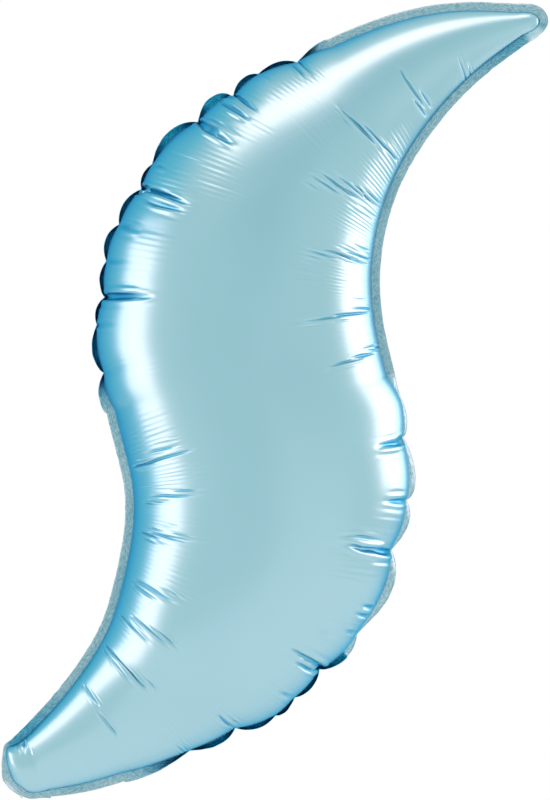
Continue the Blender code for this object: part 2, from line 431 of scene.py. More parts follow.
@dataclass(frozen=True)
class Crease:
    """One fold of a film: a lens of spare length that dips inwards.

    Attributes:
        start: Place along the balloon in mm, and share across from the left seam.
        end: The same for its inner end.
        gather: Spare length that it takes up at its fullest, in mm.
        width: Half its width in mm.
        bow: Sideways bow of its line in mm.
    """

    start: tuple[float, float]
    end: tuple[float, float]
    gather: float
    width: float = 4.0
    bow: float = 0.0

    def shape(self, place: np.ndarray, across: np.ndarray) -> tuple[np.ndarray, np.ndarray]:
        """Works out the fold over a grid.

        Args:
            place: Places along the balloon in mm, as a column.
            across: Shares across it, as a row.

        Returns:
            Share of spare length, and height over the smooth shape in mm.
        """
        along = (across - self.start[1]) / (self.end[1] - self.start[1])
        inside = np.clip(along, 0.0, 1.0)
        lens = np.sin(math.pi * inside**FOLD_SKEW) ** FOLD_FULLNESS * ((along > 0) & (along < 1))
        line = self.start[0] + (self.end[0] - self.start[0]) * inside
        line = line + self.bow * np.sin(math.pi * inside)
        away = (place - line) / self.width
        bell = np.exp(-0.5 * away**2)
        spare = lens * bell * self.gather / (self.width * math.sqrt(2.0 * math.pi))
        depth = FOLD_DEPTH * math.sqrt(self.gather * self.width)
        return spare, -depth * lens * (1.0 - 0.5 * away**2) * bell


@dataclass(frozen=True)
class Ripples:
    """A patch of fine parallel ripples that run across the balloon.

    Attributes:
        places: From and to along the balloon, in mm.
        across: From and to across it, as shares from the left seam.
        wave: Length of a ripple in mm.
        height: Height of a ripple in mm.
        lean: How far a ripple moves along the balloon over the patch, in mm.
    """

    places: tuple[float, float]
    across: tuple[float, float]
    wave: float
    height: float
    lean: float = 0.0

    def shape(self, place: np.ndarray, across: np.ndarray, draws: np.random.Generator) -> np.ndarray:
        """Works out the ripples' height over a grid.

        Args:
            place: Places along the balloon in mm, as a column.
            across: Shares across it, as a row.
            draws: Source of their unevenness.

        Returns:
            Heights in mm, outwards above zero.
        """
        low, high = self.places
        half = 0.5 * self.wave
        knots = np.arange(low - self.wave, high + 2.0 * self.wave, half)
        count = len(knots)
        knots += draws.uniform(-RIPPLE_JITTER, RIPPLE_JITTER, count) * half
        sizes = draws.uniform(*RIPPLE_SIZES, count) * np.where(np.arange(count) % 2, 1.0, -1.0)
        shifts = draws.uniform(-RIPPLE_SHIFT, RIPPLE_SHIFT, count)
        first, last = self.across
        share = (across - first) / (last - first)
        line = place - self.lean * share
        share = np.clip(share + swing(line, knots, shifts), 0.0, 1.0)
        ends = np.sin(math.pi * np.clip((place - low) / (high - low), 0.0, 1.0)) ** 0.5
        return np.sin(math.pi * share) * ends * swing(line, knots, sizes) * self.height


@dataclass(frozen=True)
class Pleats:
    """Fine pleats that spread from each deep notch.

    Attributes:
        deep: Offset in mm under which a notch counts as a deep one.
        reach: How far they spread to both sides of it along the balloon, in mm.
        across: How far they start outside the seam and end inside it, as shares of the width.
        wave: Length of a pleat in mm.
        height: Height of a pleat in mm.
        lean: How far a pleat moves along the balloon over the patch, in mm.
    """

    deep: float = -4.0
    reach: float = 11.0
    across: tuple[float, float] = (-0.04, 0.30)
    wave: float = 3.6
    height: float = 0.26
    lean: float = 3.0

    def patch(self, place: float, edge: Edge) -> Ripples:
        """Ripples at a notch, by its place along the balloon in mm and its edge."""
        wall = 0.5 - 0.5 * edge.value
        across = tuple(wall + share * edge.value for share in self.across)
        return Ripples((place - self.reach, place + self.reach), across, self.wave, self.height, self.lean)


@dataclass(frozen=True)
class BackFolds:
    """Seeded draw of the back film's folds, at its notches and along the insides of its bends.

    Attributes:
        seed: Seed of the draw.
        deep: Offset in mm under which a notch has several folds.
        deep_folds: How many those are.
        deep_length: How much longer they are, as a share of the width.
        notch_spread: Standard deviations of the start and the end of a notch's fold, in mm.
        notch_length: Least and greatest length of such a fold, as shares of the width.
        notch_width: Least and greatest half-width of it, in mm.
        bends: Per edge, from and to along the inside of its bend, in mm.
        bend_spread: Standard deviations of the start and the end of a bend's fold, in mm.
        bend_start: Least and greatest distance of its start from the seam, as shares of the width.
        bend_length: Least and greatest length of it, as shares of the width.
        bend_width: Least and greatest half-width of it, in mm.
        bow: Greatest bow of it, in mm.
        bend_folds: Least number of folds in a group, and one more than the greatest.
        step: Least and greatest distance between two groups, in mm.
        gather: Least and greatest spare length of a fold, in mm.
        notch_main: What a notch's first fold has on top, in mm.
        bend_main: What a group's first fold has on top, in mm.
    """

    seed: int = 11
    deep: float = -5.0
    deep_folds: int = 3
    deep_length: float = 0.08
    notch_spread: tuple[float, float] = (1.5, 6.0)
    notch_length: tuple[float, float] = (0.10, 0.20)
    notch_width: tuple[float, float] = (1.7, 2.2)
    bends: tuple[tuple[Edge, float, float], ...] = ((Edge.LEFT, 92.0, 448.0), (Edge.RIGHT, 478.0, 892.0))
    bend_spread: tuple[float, float] = (4.0, 9.0)
    bend_start: tuple[float, float] = (0.08, 0.14)
    bend_length: tuple[float, float] = (0.12, 0.34)
    bend_width: tuple[float, float] = (1.8, 2.5)
    bow: float = 2.0
    bend_folds: tuple[int, int] = (1, 4)
    step: tuple[float, float] = (32.0, 56.0)
    gather: tuple[float, float] = (1.0, 1.8)
    notch_main: float = 1.2
    bend_main: float = 1.4

    def at_notch(self, draws: np.random.Generator, edge: Edge, place: float, offset: float) -> list[Crease]:
        """Draws the folds of one notch.

        Args:
            draws: Source of the draw.
            edge: Its edge.
            place: Its place along the balloon in mm.
            offset: How far it stands out of the plain edge in mm.

        Returns:
            The folds.
        """
        wall = 0.5 - 0.5 * edge.value
        deep = offset < self.deep
        creases = []
        for number in range(self.deep_folds if deep else 1):
            start, end = (draws.normal(place, spread) for spread in self.notch_spread)
            length = draws.uniform(*self.notch_length) + (self.deep_length if deep else 0.0)
            gather = draws.uniform(*self.gather) + (self.notch_main if number == 0 else 0.0)
            inner = wall + edge.value * length
            creases.append(Crease((start, wall), (end, inner), gather, draws.uniform(*self.notch_width)))
        return creases

    def along_bend(self, draws: np.random.Generator, edge: Edge, low: float, high: float) -> list[Crease]:
        """Draws the folds along the inside of a bend.

        Args:
            draws: Source of the draw.
            edge: Its edge.
            low: Where it starts along the balloon, in mm.
            high: Where it ends.

        Returns:
            The folds.
        """
        wall = 0.5 - 0.5 * edge.value
        creases = []
        place = low
        while place < high:
            for number in range(draws.integers(*self.bend_folds)):
                start = draws.normal(place, self.bend_spread[0])
                first, length = draws.uniform(*self.bend_start), draws.uniform(*self.bend_length)
                gather = draws.uniform(*self.gather) + (self.bend_main if number == 0 else 0.0)
                end = draws.normal(start, self.bend_spread[1])
                inner = wall + edge.value * (first + length)
                width, bow = draws.uniform(*self.bend_width), draws.uniform(-self.bow, self.bow)
                creases.append(Crease((start, wall + edge.value * first), (end, inner), gather, width, bow))
            place += draws.uniform(*self.step)
        return creases


# The folds that the front film shows, from the tail upwards along each edge
FRONT_CREASES = (
    # tail corner and left edge, inside of the lower bend
    Crease((23, 0.07), (15, 0.23), 2.6, 1.7),
    Crease((13, 0.03), (12, 0.22), 1.0, 1.5),
    Crease((17.5, 0.2), (16, 0.31), 0.9, 1.4),
    Crease((23, 0.2), (18, 0.36), 0.8, 1.5),
    Crease((26, 0.27), (23, 0.41), 0.6, 1.5),
    Crease((-12, 0.98), (-3, 0.62), 1.2, 1.5),
    Crease((103, 0.383), (104, 0.6), 1.8, 1.9, 1.0),
    Crease((105, 0.517), (108, 0.583), 0.8, 1.5),
    Crease((106, 0.175), (110, 0.367), 2.9, 2.0),
    Crease((104, 0.242), (108, 0.35), 1.1, 1.5),
    Crease((149, 0.117), (155, 0.458), 4.9, 2.6, 2.0),
    Crease((145, 0.217), (155, 0.433), 2.3, 1.8, -1.0),
    Crease((154, 0.383), (168, 0.55), 1.4, 1.8),
    Crease((186, 0.125), (191, 0.325), 4.3, 2.4, 1.0),
    Crease((199, 0.208), (206, 0.425), 3.5, 2.2, -2.0),
    Crease((204, 0.308), (208, 0.467), 1.0, 1.7),
    Crease((238, 0.142), (248, 0.342), 4.6, 2.6, -2.0),
    Crease((229, 0.15), (240, 0.3), 2.3, 1.8),
    Crease((246, 0.267), (258, 0.4), 1.0, 1.7),
    Crease((303, 0.108), (321, 0.317), 4.9, 2.6),
    Crease((311, 0.125), (334, 0.275), 2.0, 1.8),
    Crease((297, 0.142), (315, 0.308), 2.0, 1.8),
    Crease((353, 0.117), (385, 0.325), 4.1, 2.4, 2.0),
    Crease((370, 0.175), (376, 0.333), 1.8, 1.8),
    Crease((379, 0.142), (388, 0.25), 1.1, 1.7),
    Crease((418, 0.092), (430, 0.325), 4.9, 2.6, 3.0),
    Crease((420, 0.075), (444, 0.283), 2.6, 2.0),
    Crease((432, 0.208), (446, 0.3), 1.1, 1.6),
    # right edge, inside of the upper bend
    Crease((488, 0.992), (470, 0.7), 4.3, 2.4),
    Crease((480, 0.908), (472, 0.758), 1.4, 1.7),
    Crease((549, 0.942), (525, 0.658), 4.9, 2.6, -2.0),
    Crease((543, 0.933), (528, 0.75), 2.3, 1.8),
    Crease((566, 0.917), (553, 0.8), 1.1, 1.6),
    Crease((634, 0.925), (610, 0.658), 5.2, 2.4),
    Crease((645, 0.908), (625, 0.75), 2.3, 1.8),
    Crease((625, 0.917), (614, 0.775), 2.3, 1.8),
    Crease((605, 0.708), (600, 0.65), 0.9, 1.6),
    Crease((620, 0.7), (612, 0.633), 0.7, 1.5),
    Crease((717, 0.9), (690, 0.558), 4.9, 2.4, 2.0),
    Crease((708, 0.817), (687, 0.608), 3.5, 2.0),
    Crease((687, 0.65), (678, 0.55), 1.4, 1.8),
    Crease((711, 0.908), (704, 0.708), 1.8, 1.7),
    Crease((695, 0.883), (686, 0.733), 1.4, 1.6),
    Crease((688, 0.892), (683, 0.758), 1.1, 1.6),
    Crease((768, 0.883), (763, 0.633), 4.1, 2.0),
    Crease((766, 0.742), (756, 0.458), 4.1, 2.2, -2.0),
    Crease((763, 0.65), (756, 0.508), 1.8, 1.7),
    Crease((818, 0.867), (825, 0.492), 4.1, 2.2, 2.0),
    Crease((830, 0.842), (830, 0.675), 2.3, 1.8),
    Crease((828, 0.55), (821, 0.433), 1.1, 1.6),
    Crease((818, 0.817), (820, 0.7), 1.4, 1.6),
    Crease((880, 1.0), (883, 0.567), 2.3, 1.9, -2.0),
    Crease((886, 1.0), (887, 0.717), 1.4, 1.7),
    # left edge, outside of the upper bend
    Crease((540, 0.0), (538, 0.142), 1.4, 1.8),
    Crease((556, 0.0), (556, 0.275), 4.6, 2.2, 1.0),
    Crease((558, 0.083), (561, 0.217), 2.3, 1.8),
    Crease((556, 0.067), (553, 0.192), 1.4, 1.6),
    Crease((580, 0.042), (578, 0.142), 1.1, 1.6),
    Crease((602, 0.05), (598, 0.175), 1.8, 1.8),
    Crease((628, 0.0), (618, 0.267), 3.5, 1.9, 1.0),
    Crease((630, 0.083), (622, 0.283), 2.6, 1.8, -1.0),
    Crease((630, 0.0), (624, 0.308), 3.5, 2.0, 1.0),
    Crease((626, 0.108), (614, 0.3), 2.3, 1.8, 1.0),
    Crease((628, 0.158), (624, 0.25), 1.1, 1.5),
    Crease((647, 0.067), (643, 0.15), 1.4, 1.7),
    Crease((684, 0.0), (676, 0.3), 4.3, 2.0, 2.0),
    Crease((686, 0.117), (682, 0.292), 2.1, 1.7, -1.0),
    Crease((682, 0.125), (676, 0.275), 1.8, 1.6, 1.0),
    Crease((713, 0.0), (700, 0.275), 4.3, 2.0, -3.0),
    Crease((714, 0.1), (709, 0.25), 2.0, 1.7),
    Crease((709, 0.1), (700, 0.242), 1.8, 1.6),
    Crease((738, 0.05), (732, 0.183), 1.0, 1.6),
    Crease((766, 0.0), (753, 0.25), 2.9, 1.9, -1.0),
    Crease((768, 0.1), (761, 0.242), 1.3, 1.6),
    # right edge, outside of the lower bend
    Crease((136, 0.933), (139, 0.817), 1.8, 1.9),
    Crease((139, 0.942), (146, 0.85), 0.9, 1.6),
    Crease((177, 0.917), (184, 0.775), 2.6, 2.0),
    Crease((178, 0.917), (192, 0.808), 1.1, 1.6),
    Crease((220, 0.925), (225, 0.833), 1.4, 1.7),
    Crease((248, 1.0), (255, 0.725), 4.9, 2.2, 2.0),
    Crease((246, 0.908), (249, 0.792), 2.1, 1.7),
    Crease((273, 0.833), (281, 0.717), 1.1, 2.0),
    Crease((281, 0.933), (282, 0.867), 1.4, 1.7),
    Crease((300, 0.958), (299, 0.875), 2.3, 1.8),
    Crease((294, 0.95), (296, 0.85), 1.8, 1.7),
    Crease((336, 1.0), (344, 0.717), 6.4, 2.4, -3.0),
    Crease((340, 0.875), (346, 0.758), 2.1, 1.7),
    Crease((334, 0.925), (334, 0.8), 1.4, 1.6),
    Crease((369, 0.975), (368, 0.842), 2.6, 1.9),
    Crease((370, 0.925), (372, 0.85), 1.3, 1.6),
    Crease((406, 1.0), (401, 0.808), 3.8, 2.2),
    Crease((404, 0.917), (404, 0.842), 1.8, 1.7),
)
FRONT_RIPPLES = (
    Ripples((563, 604), (0.10, 0.34), 4.4, 0.20, -3.0),
    Ripples((632, 672), (0.10, 0.40), 4.0, 0.34, 2.0),
    Ripples((685, 714), (0.14, 0.34), 4.0, 0.26, 3.0),
    Ripples((716, 766), (0.10, 0.34), 4.0, 0.24, 3.0),
    Ripples((708, 806), (0.68, 0.94), 4.6, 0.22, -4.0),
    Ripples((646, 712), (0.66, 0.97), 5.0, 0.24, -4.0),
    Ripples((556, 632), (0.66, 0.97), 5.0, 0.22, -3.0),
    Ripples((470, 548), (0.72, 0.98), 5.0, 0.17, 2.0),
    Ripples((500, 540), (0.06, 0.24), 4.2, 0.10, 1.0),
    Ripples((424, 480), (0.09, 0.30), 5.0, 0.15, 5.0),
    Ripples((374, 424), (0.10, 0.34), 5.6, 0.22, 5.0),
    Ripples((300, 360), (0.08, 0.34), 6.2, 0.17, 4.0),
    Ripples((236, 304), (0.10, 0.34), 6.2, 0.13, 4.0),
    Ripples((160, 232), (0.12, 0.30), 6.2, 0.08, 3.0),
    Ripples((340, 370), (0.80, 0.98), 5.0, 0.20, -2.0),
    Ripples((300, 334), (0.68, 0.97), 4.2, 0.22, 2.0),
    Ripples((252, 296), (0.74, 0.92), 4.6, 0.06, 2.0),
    Ripples((400, 436), (0.80, 0.96), 5.0, 0.14, -2.0),
    Ripples((690, 756), (0.40, 0.68), 5.6, 0.04, -8.0),
    Ripples((560, 640), (0.52, 0.72), 6.0, 0.035, -4.0),
)


# Films


def project(a: np.ndarray, b: np.ndarray, rest: np.ndarray, pull: float, push: float) -> None:
    """Moves the two ends of many links towards their rest lengths, in place.

    Args:
        a: First ends, with x, y and z on the first axis.
        b: Second ends.
        rest: Rest length of each link.
        pull: Share of the error that is mended where a link is too long.
        push: The same where it is too short.
    """
    gap = b - a
    length = np.sqrt(gap[0] * gap[0] + gap[1] * gap[1] + gap[2] * gap[2]) + np.float32(1e-9)
    error = (length - rest) / length
    error *= np.where(error > 0, np.float32(0.5 * pull), np.float32(0.5 * push))
    gap *= error
    a += gap
    b -= gap


def surface_normals(points: np.ndarray, sign: float) -> np.ndarray:
    """Unit normals at the inner points of a grid, outwards for that sign."""
    a = points[:, 2:, 1:-1] - points[:, :-2, 1:-1]
    b = points[:, 1:-1, 2:] - points[:, 1:-1, :-2]
    normal = np.cross(a, b, axis=0).astype(points.dtype)
    normal /= np.sqrt((normal**2).sum(axis=0)) + 1e-12
    return normal * points.dtype.type(sign)


def pockets(points: np.ndarray, outward: np.ndarray) -> np.ndarray:
    """How deep each point of a film lies in a fold.

    Args:
        points: Points of the film, with x, y and z on the first axis.
        outward: Outward directions of the smooth film.

    Returns:
        Sunk depth over the half-width of the fold, per point.
    """
    found = np.zeros(points.shape[1:])
    for reach in (2, 4):
        here = points[:, reach:-reach]
        before, after = points[:, :-2 * reach], points[:, 2 * reach:]
        sunk = ((0.5 * (before + after) - here) * outward[:, reach:-reach]).sum(axis=0)
        span = 0.5 * np.sqrt(((after - before) ** 2).sum(axis=0)) + 1e-6
        np.maximum(found[reach:-reach], sunk / span, out=found[reach:-reach])
    return found


@dataclass
class Cut:
    """Rest lengths of a film's links.

    Attributes:
        down: Lengths down the rows.
        over: Lengths over the columns.
        falling: Lengths of the diagonals to the next row and column.
        rising: Lengths of the other diagonals.
    """

    down: np.ndarray
    over: np.ndarray
    falling: np.ndarray
    rising: np.ndarray

    @classmethod
    def from_shape(cls, shape: np.ndarray, spare: np.ndarray) -> "Cut":
        """Cuts a film to a smooth shape with spare length along the balloon.

        Args:
            shape: Smooth inflated shape, with x, y and z on the first axis.
            spare: Share of spare length of each link down the rows.

        Returns:
            The rest lengths.
        """
        down, over = np.diff(shape, axis=1), np.diff(shape, axis=2)
        length = np.sqrt((down**2).sum(axis=0))
        cut_down = length * (1.0 + spare)
        cut_over = np.sqrt((over**2).sum(axis=0))
        a = 0.5 * (cut_down[:, 1:] + cut_down[:, :-1])
        b = 0.5 * (cut_over[1:] + cut_over[:-1])
        middle_down = 0.5 * (down[:, :, 1:] + down[:, :, :-1])
        middle_over = 0.5 * (over[:, 1:] + over[:, :-1])
        lean = (middle_down * middle_over).sum(axis=0)
        lean *= a / np.sqrt((middle_down**2).sum(axis=0)) * b / np.sqrt((middle_over**2).sum(axis=0))
        falling = np.sqrt(np.maximum(a**2 + b**2 + 2.0 * lean, 1e-12))
        rising = np.sqrt(np.maximum(a**2 + b**2 - 2.0 * lean, 1e-12))
        return cls(*(x.astype(np.float32) for x in (cut_down, cut_over, falling, rising)))

    def size(self) -> tuple[float, float]:
        """Widest width of the flat film, and its length along its middle line."""
        return float(self.over.sum(axis=1).max()), float(self.down[:, self.down.shape[1] // 2].sum())

    def area(self) -> float:
        """Area of the flat film."""
        return float((self.down[:, 1:] * 0.5 * (self.over[1:] + self.over[:-1])).sum())


@dataclass
class Blower:
    """Solver that blows up two welded films.

    Attributes:
        press: How far air pushes a point out in one step.
        keep: Share of a point's motion that is kept from step to step.
        hold: Share of the way back to its line in plan that a seam point moves in one step.
        calm: Share of its distance from the seam plane that a seam point loses in one step.
        stiff: Share of a bend's shortening that is mended in one step.
        shear: The same for the diagonals.
        form: Share of the way to the smooth shape that every point moves in one step.
    """

    press: float = 6e-6
    keep: float = 0.90
    hold: float = 0.25
    calm: float = 0.02
    stiff: float = 0.03
    shear: float = 0.35
    form: float = 0.002

    def links(self, points: np.ndarray, cut: Cut) -> list[tuple]:
        """Lists the links of a film in groups that share no point.

        Args:
            points: Points of the film, kept in place while it is solved.
            cut: Rest lengths of the film.

        Returns:
            Per group: views of both ends, rest lengths, and the shares mended when too long
            and when too short.
        """
        groups = []
        for phase in (0, 1):
            near, far = points[:, phase:-1:2], points[:, phase + 1::2]
            groups.append((near, far, cut.down[phase::2], 1.0, 1.0))
            near, far = points[:, :, phase:-1:2], points[:, :, phase + 1::2]
            groups.append((near, far, cut.over[:, phase::2], 1.0, 0.5))
            near, far = points[:, phase:-1:2, :-1], points[:, phase + 1::2, 1:]
            groups.append((near, far, cut.falling[phase::2], self.shear, self.shear))
            near, far = points[:, phase:-1:2, 1:], points[:, phase + 1::2, :-1]
            groups.append((near, far, cut.rising[phase::2], self.shear, self.shear))
        two_down = cut.down[1:] + cut.down[:-1]
        for phase in range(4):
            far = points[:, phase + 2::4]
            near = points[:, phase::4][:, :far.shape[1]]
            groups.append((near, far, two_down[phase::4], 0.0, self.stiff))
        return groups

    def blow(self, front: np.ndarray, back: np.ndarray, cuts: tuple[Cut, Cut], smooth: np.ndarray,
             steps: int) -> None:
        """Blows up both films in place, welded along their rims.

        Args:
            front: Points of the front film, with x, y and z on the first axis.
            back: Points of the back film.
            cuts: Their rest lengths.
            smooth: Smooth shape of the front film.
            steps: How many steps the solver takes.
        """
        films = (front, back)
        shapes = (smooth, smooth * MIRROR)
        groups = [self.links(film, cut) for film, cut in zip(films, cuts)]
        before = [film.copy() for film in films]
        whole = slice(None)
        rims = ((whole, whole, 0), (whole, whole, -1), (whole, 0), (whole, -1))
        outward = []
        for film, shape in zip(films, shapes):
            facing = surface_normals(film, 1.0)[1].mean()
            outward.append(float(np.sign(facing) * np.sign(shape[1].mean())))
        for _ in range(steps):
            for index, film in enumerate(films):
                motion = (film - before[index]) * np.float32(self.keep)
                np.copyto(before[index], film)
                film += motion
                film[:, 1:-1, 1:-1] += surface_normals(film, outward[index]) * np.float32(self.press)
                film += (shapes[index] - film) * np.float32(self.form)
                for near, far, rest, pull, push in groups[index]:
                    project(near, far, rest, pull, push)
            for rim in rims:
                line = 0.5 * (front[rim] + back[rim])
                target = smooth[rim]
                line[0] += (target[0] - line[0]) * self.hold
                line[2] += (target[2] - line[2]) * self.hold
                line[1] *= 1.0 - self.calm
                front[rim] = back[rim] = line


@dataclass(frozen=True)
class MarginCurlAndShade:
    """Where the margin curls to the back, and where it gets painted shade though it isn't gathered.

    Attributes:
        turned: Share of the middle line past which the right margin curls to the back.
        curl: How soon a gathered margin is curled up in full.
        run: Distance over which a stretch of painted shade grows, in mm.
        tail: Greatest painted shade at the left of the tail.
        tail_ends: Places between which that lies, in mm.
        tip: Greatest painted shade at the right of the tip.
        tip_start: Place where that starts, in mm.
    """

    turned: float = 0.302
    curl: float = 3.0
    run: float = 60.0
    tail: float = 0.8
    tail_ends: tuple[float, float] = (4.0, 95.0)
    tip: float = 0.6
    tip_start: float = 870.0


@dataclass
class Films:
    """The two inflated films.

    Attributes:
        outline: Plan of the balloon.
        rungs_on_line: Rungs between the end stations.
        columns: Columns of faces across a film.
        steps: Steps of the solver.
        lens: Power of the section's sine on a plain edge's side and on a gathered one's.
        swell: Depth over half-width of the section that the columns are spaced for.
        hug: Power by which an edge's notches fade away from it.
        seeds: Seeds of the ripples' unevenness on the front and on the back film.
        rim_points: Points of the seam line all round.
        blower: The solver.
        pleats: Pleats at the notches.
        back_folds: Folds of the back film.
        tones: Where the margin curls back and where it gets painted shade.
    """

    outline: Outline
    rungs_on_line: int = 970
    columns: int = 98
    steps: int = 160
    lens: tuple[float, float] = (1.0, 0.90)
    swell: float = 0.8
    hug: int = 4
    seeds: tuple[int, int] = (5, 6)
    rim_points: int = 1800
    blower: Blower = field(default_factory=Blower)
    pleats: Pleats = Pleats()
    back_folds: BackFolds = BackFolds()
    tones: MarginCurlAndShade = MarginCurlAndShade()

    def __post_init__(self) -> None:
        """Lays out the grid."""
        self.rungs = self.outline.rungs(self.rungs_on_line)
        turn = np.linspace(0.0, math.pi, 721)
        steps = np.hypot(np.diff(np.cos(turn)), self.swell * np.diff(np.sin(turn)))
        arc = np.concatenate(([0.0], np.cumsum(steps)))
        self.across = np.linspace(0.0, 1.0, self.columns + 1)
        self.angles = np.interp(self.across * arc[-1], arc, turn)

    def smooth(self) -> np.ndarray:
        """Smooth shape of the front film, with x, y and z on the first axis."""
        rungs = self.rungs
        v = np.cos(self.angles)
        out = rungs.halves[:, None] * v
        plain, blunt = self.lens
        power = np.full(out.shape, plain)
        for edge in Edge:
            near = np.clip(edge.value * v, 0.0, 1.0) ** self.hug
            out += edge.value * np.outer(self.outline.seam_shift(rungs.shares, edge), near)
            side = np.outer(self.outline.blunt(rungs.shares, edge), edge.value * v > 0.0)
            power += side * (blunt - plain)
        place = rungs.middles[:, None, :] + rungs.lefts[:, None, :] * out[:, :, None]
        depth = rungs.depths[:, None] * np.maximum(np.sin(self.angles), 0.0) ** power
        return np.stack([place[:, :, 0], -depth, place[:, :, 1]]).astype(np.float32)

    def notches(self) -> list[tuple[Edge, float, float]]:
        """Notches of both edges: edge, place along the balloon in mm, and offset in mm."""
        shares, places = self.rungs.shares, self.rungs.places
        return [
            (edge, float(np.interp(share, shares, places)) / MM, offset)
            for edge in Edge for share, offset in self.outline.notches(edge)
        ]

    def back_creases(self) -> list[Crease]:
        """Draws folds for the back film at the same notches and along the same bends."""
        draws = np.random.default_rng(self.back_folds.seed)
        creases = []
        for edge, low, high in self.back_folds.bends:
            for side, place, offset in self.notches():
                if side is edge:
                    creases += self.back_folds.at_notch(draws, edge, place, offset)
            creases += self.back_folds.along_bend(draws, edge, low, high)
        return creases

    def folds(self, creases: Iterable[Crease]) -> tuple[np.ndarray, np.ndarray]:
        """Works out where a film has spare length and which way it starts to fold.

        Args:
            creases: Folds of the film.

        Returns:
            Share of spare length per link down the rows, and height of each point over the
            smooth shape in metres, inwards below zero.
        """
        place, across = self.rungs.places[:, None] / MM, self.across[None, :]
        spare = np.zeros((len(place), across.shape[1]))
        height = np.zeros_like(spare)
        for crease in creases:
            more, bump = crease.shape(place, across)
            spare += more
            height += bump * MM
        return 0.5 * (spare[1:] + spare[:-1]), height

    def rippling(self, seed: int) -> np.ndarray:
        """Height in metres of the fine ripples and pleats over a film, uneven by a seed."""
        pleats = [self.pleats.patch(place, edge) for edge, place, offset in self.notches()
                  if offset < self.pleats.deep]
        place, across = self.rungs.places[:, None] / MM, self.across[None, :]
        height = np.zeros((len(place), across.shape[1]))
        draws = np.random.default_rng(seed)
        for patch in (*FRONT_RIPPLES, *pleats):
            height += patch.shape(place, across, draws) * MM
        return height

    def solve(self) -> None:
        """Cuts both films and blows them up."""
        smooth = self.smooth()
        normal = np.zeros_like(smooth)
        inner = surface_normals(smooth, 1.0)
        normal[:, 1:-1, 1:-1] = inner * -np.sign(inner[1].mean())
        front_spare, front_height = self.folds(FRONT_CREASES)
        back_spare, back_height = self.folds(self.back_creases())
        self.cuts = (Cut.from_shape(smooth, front_spare), Cut.from_shape(smooth * MIRROR, back_spare))
        self.front = np.ascontiguousarray(smooth + normal * front_height.astype(np.float32))
        self.back = np.ascontiguousarray((smooth + normal * back_height.astype(np.float32)) * MIRROR)
        self.blower.blow(self.front, self.back, self.cuts, smooth, self.steps)
        self.sunk = []
        outward = (normal, normal * MIRROR)
        for film, seed, turned in zip((self.front, self.back), self.seeds, outward):
            facing = surface_normals(film, 1.0)
            facing *= np.sign(facing[1].mean()) * np.sign(film[1].mean())
            film[:, 1:-1, 1:-1] += facing * self.rippling(seed)[1:-1, 1:-1].astype(np.float32)
            # Depth in the folds, which masks the foil's painted shade
            self.sunk.append(pockets(film, turned))

    def panel(self, name: str, face: Face) -> bpy.types.Object:
        """Makes one film's object.

        Args:
            name: Name of the piece.
            face: Which film it is.

        Returns:
            The object, with outward faces, and its flat coordinates and the depth of its folds, the mask of
            its painted shade, as attributes.
        """
        points, sunk = (self.front, self.sunk[0]) if face is Face.FRONT else (self.back, self.sunk[1])
        rows, columns = points.shape[1:]
        bpy.ops.object.select_all(action="DESELECT")
        bpy.ops.mesh.primitive_grid_add(x_subdivisions=columns - 1, y_subdivisions=rows - 1)
        film = bpy.context.active_object
        film.name = film.data.name = name
        film.data.vertices.foreach_set("co", points.reshape(3, -1).T.ravel())
        if face is Face.BACK:
            film.data.flip_normals()
        lengths = np.cumsum(self.cuts[0].over, axis=1)
        over = np.concatenate((np.zeros((rows, 1)), lengths), axis=1)
        place = np.broadcast_to(self.rungs.places[:, None], over.shape)
        rim = np.minimum(over, over[:, -1:] - over)
        write_attribute(film, "film", np.stack([place, over, rim], axis=2).reshape(-1, 3))
        write_attribute(film, "sunk", sunk.ravel())
        film.data.update()
        film.data.shade_smooth()
        return film

    def _round_trip(self) -> tuple[np.ndarray, ...]:
        """Values along the left edge, the tip, back along the right edge, and the tail.

        Returns:
            Points of the seam line, widths that show, curls, facings and strengths of painted shade.
        """
        rungs, outline, tones = self.rungs, self.outline, self.tones
        shares, margins = rungs.shares, rungs.margins
        ends = np.linspace(0.0, 1.0, self.columns + 1)
        line = np.concatenate((
            self.front[:, :, 0], self.front[:, -1, :], self.front[:, ::-1, -1], self.front[:, 0, ::-1],
        ), axis=1).T.astype(float)
        widths = np.concatenate((
            margins[:, 0], margins[-1, 0] + ends * (margins[-1, 1] - margins[-1, 0]),
            margins[::-1, 1], margins[0, 1] + ends * (margins[0, 0] - margins[0, 1]),
        ))
        left = outline.gathered(shares, Edge.LEFT)
        right = outline.gathered(shares, Edge.RIGHT)[::-1]
        curls = np.concatenate((left, 0.0 * ends, right, 0.0 * ends))
        behind = (shares[::-1] > tones.turned) * 2.0 - 1.0
        facing = np.concatenate((-np.ones_like(shares), -np.ones_like(ends), behind, -np.ones_like(ends)))
        place = rungs.places / MM
        bare, tail = tones.tail_ends
        tail_shade = tones.tail * np.clip((tail - place) / tones.run, 0.0, 1.0) * (place > bare)
        tip_shade = tones.tip * np.clip((place[::-1] - tones.tip_start) / tones.run, 0.0, 1.0)
        # Painted shade of the margin: where it is gathered on the left, where it is gathered on the right
        # and faces the front, at the tail's left and at the tip's right
        dark = np.concatenate((left + tail_shade, 0.0 * ends, right * (behind < 0) + tip_shade, 0.0 * ends))
        return line, widths, curls, facing, dark

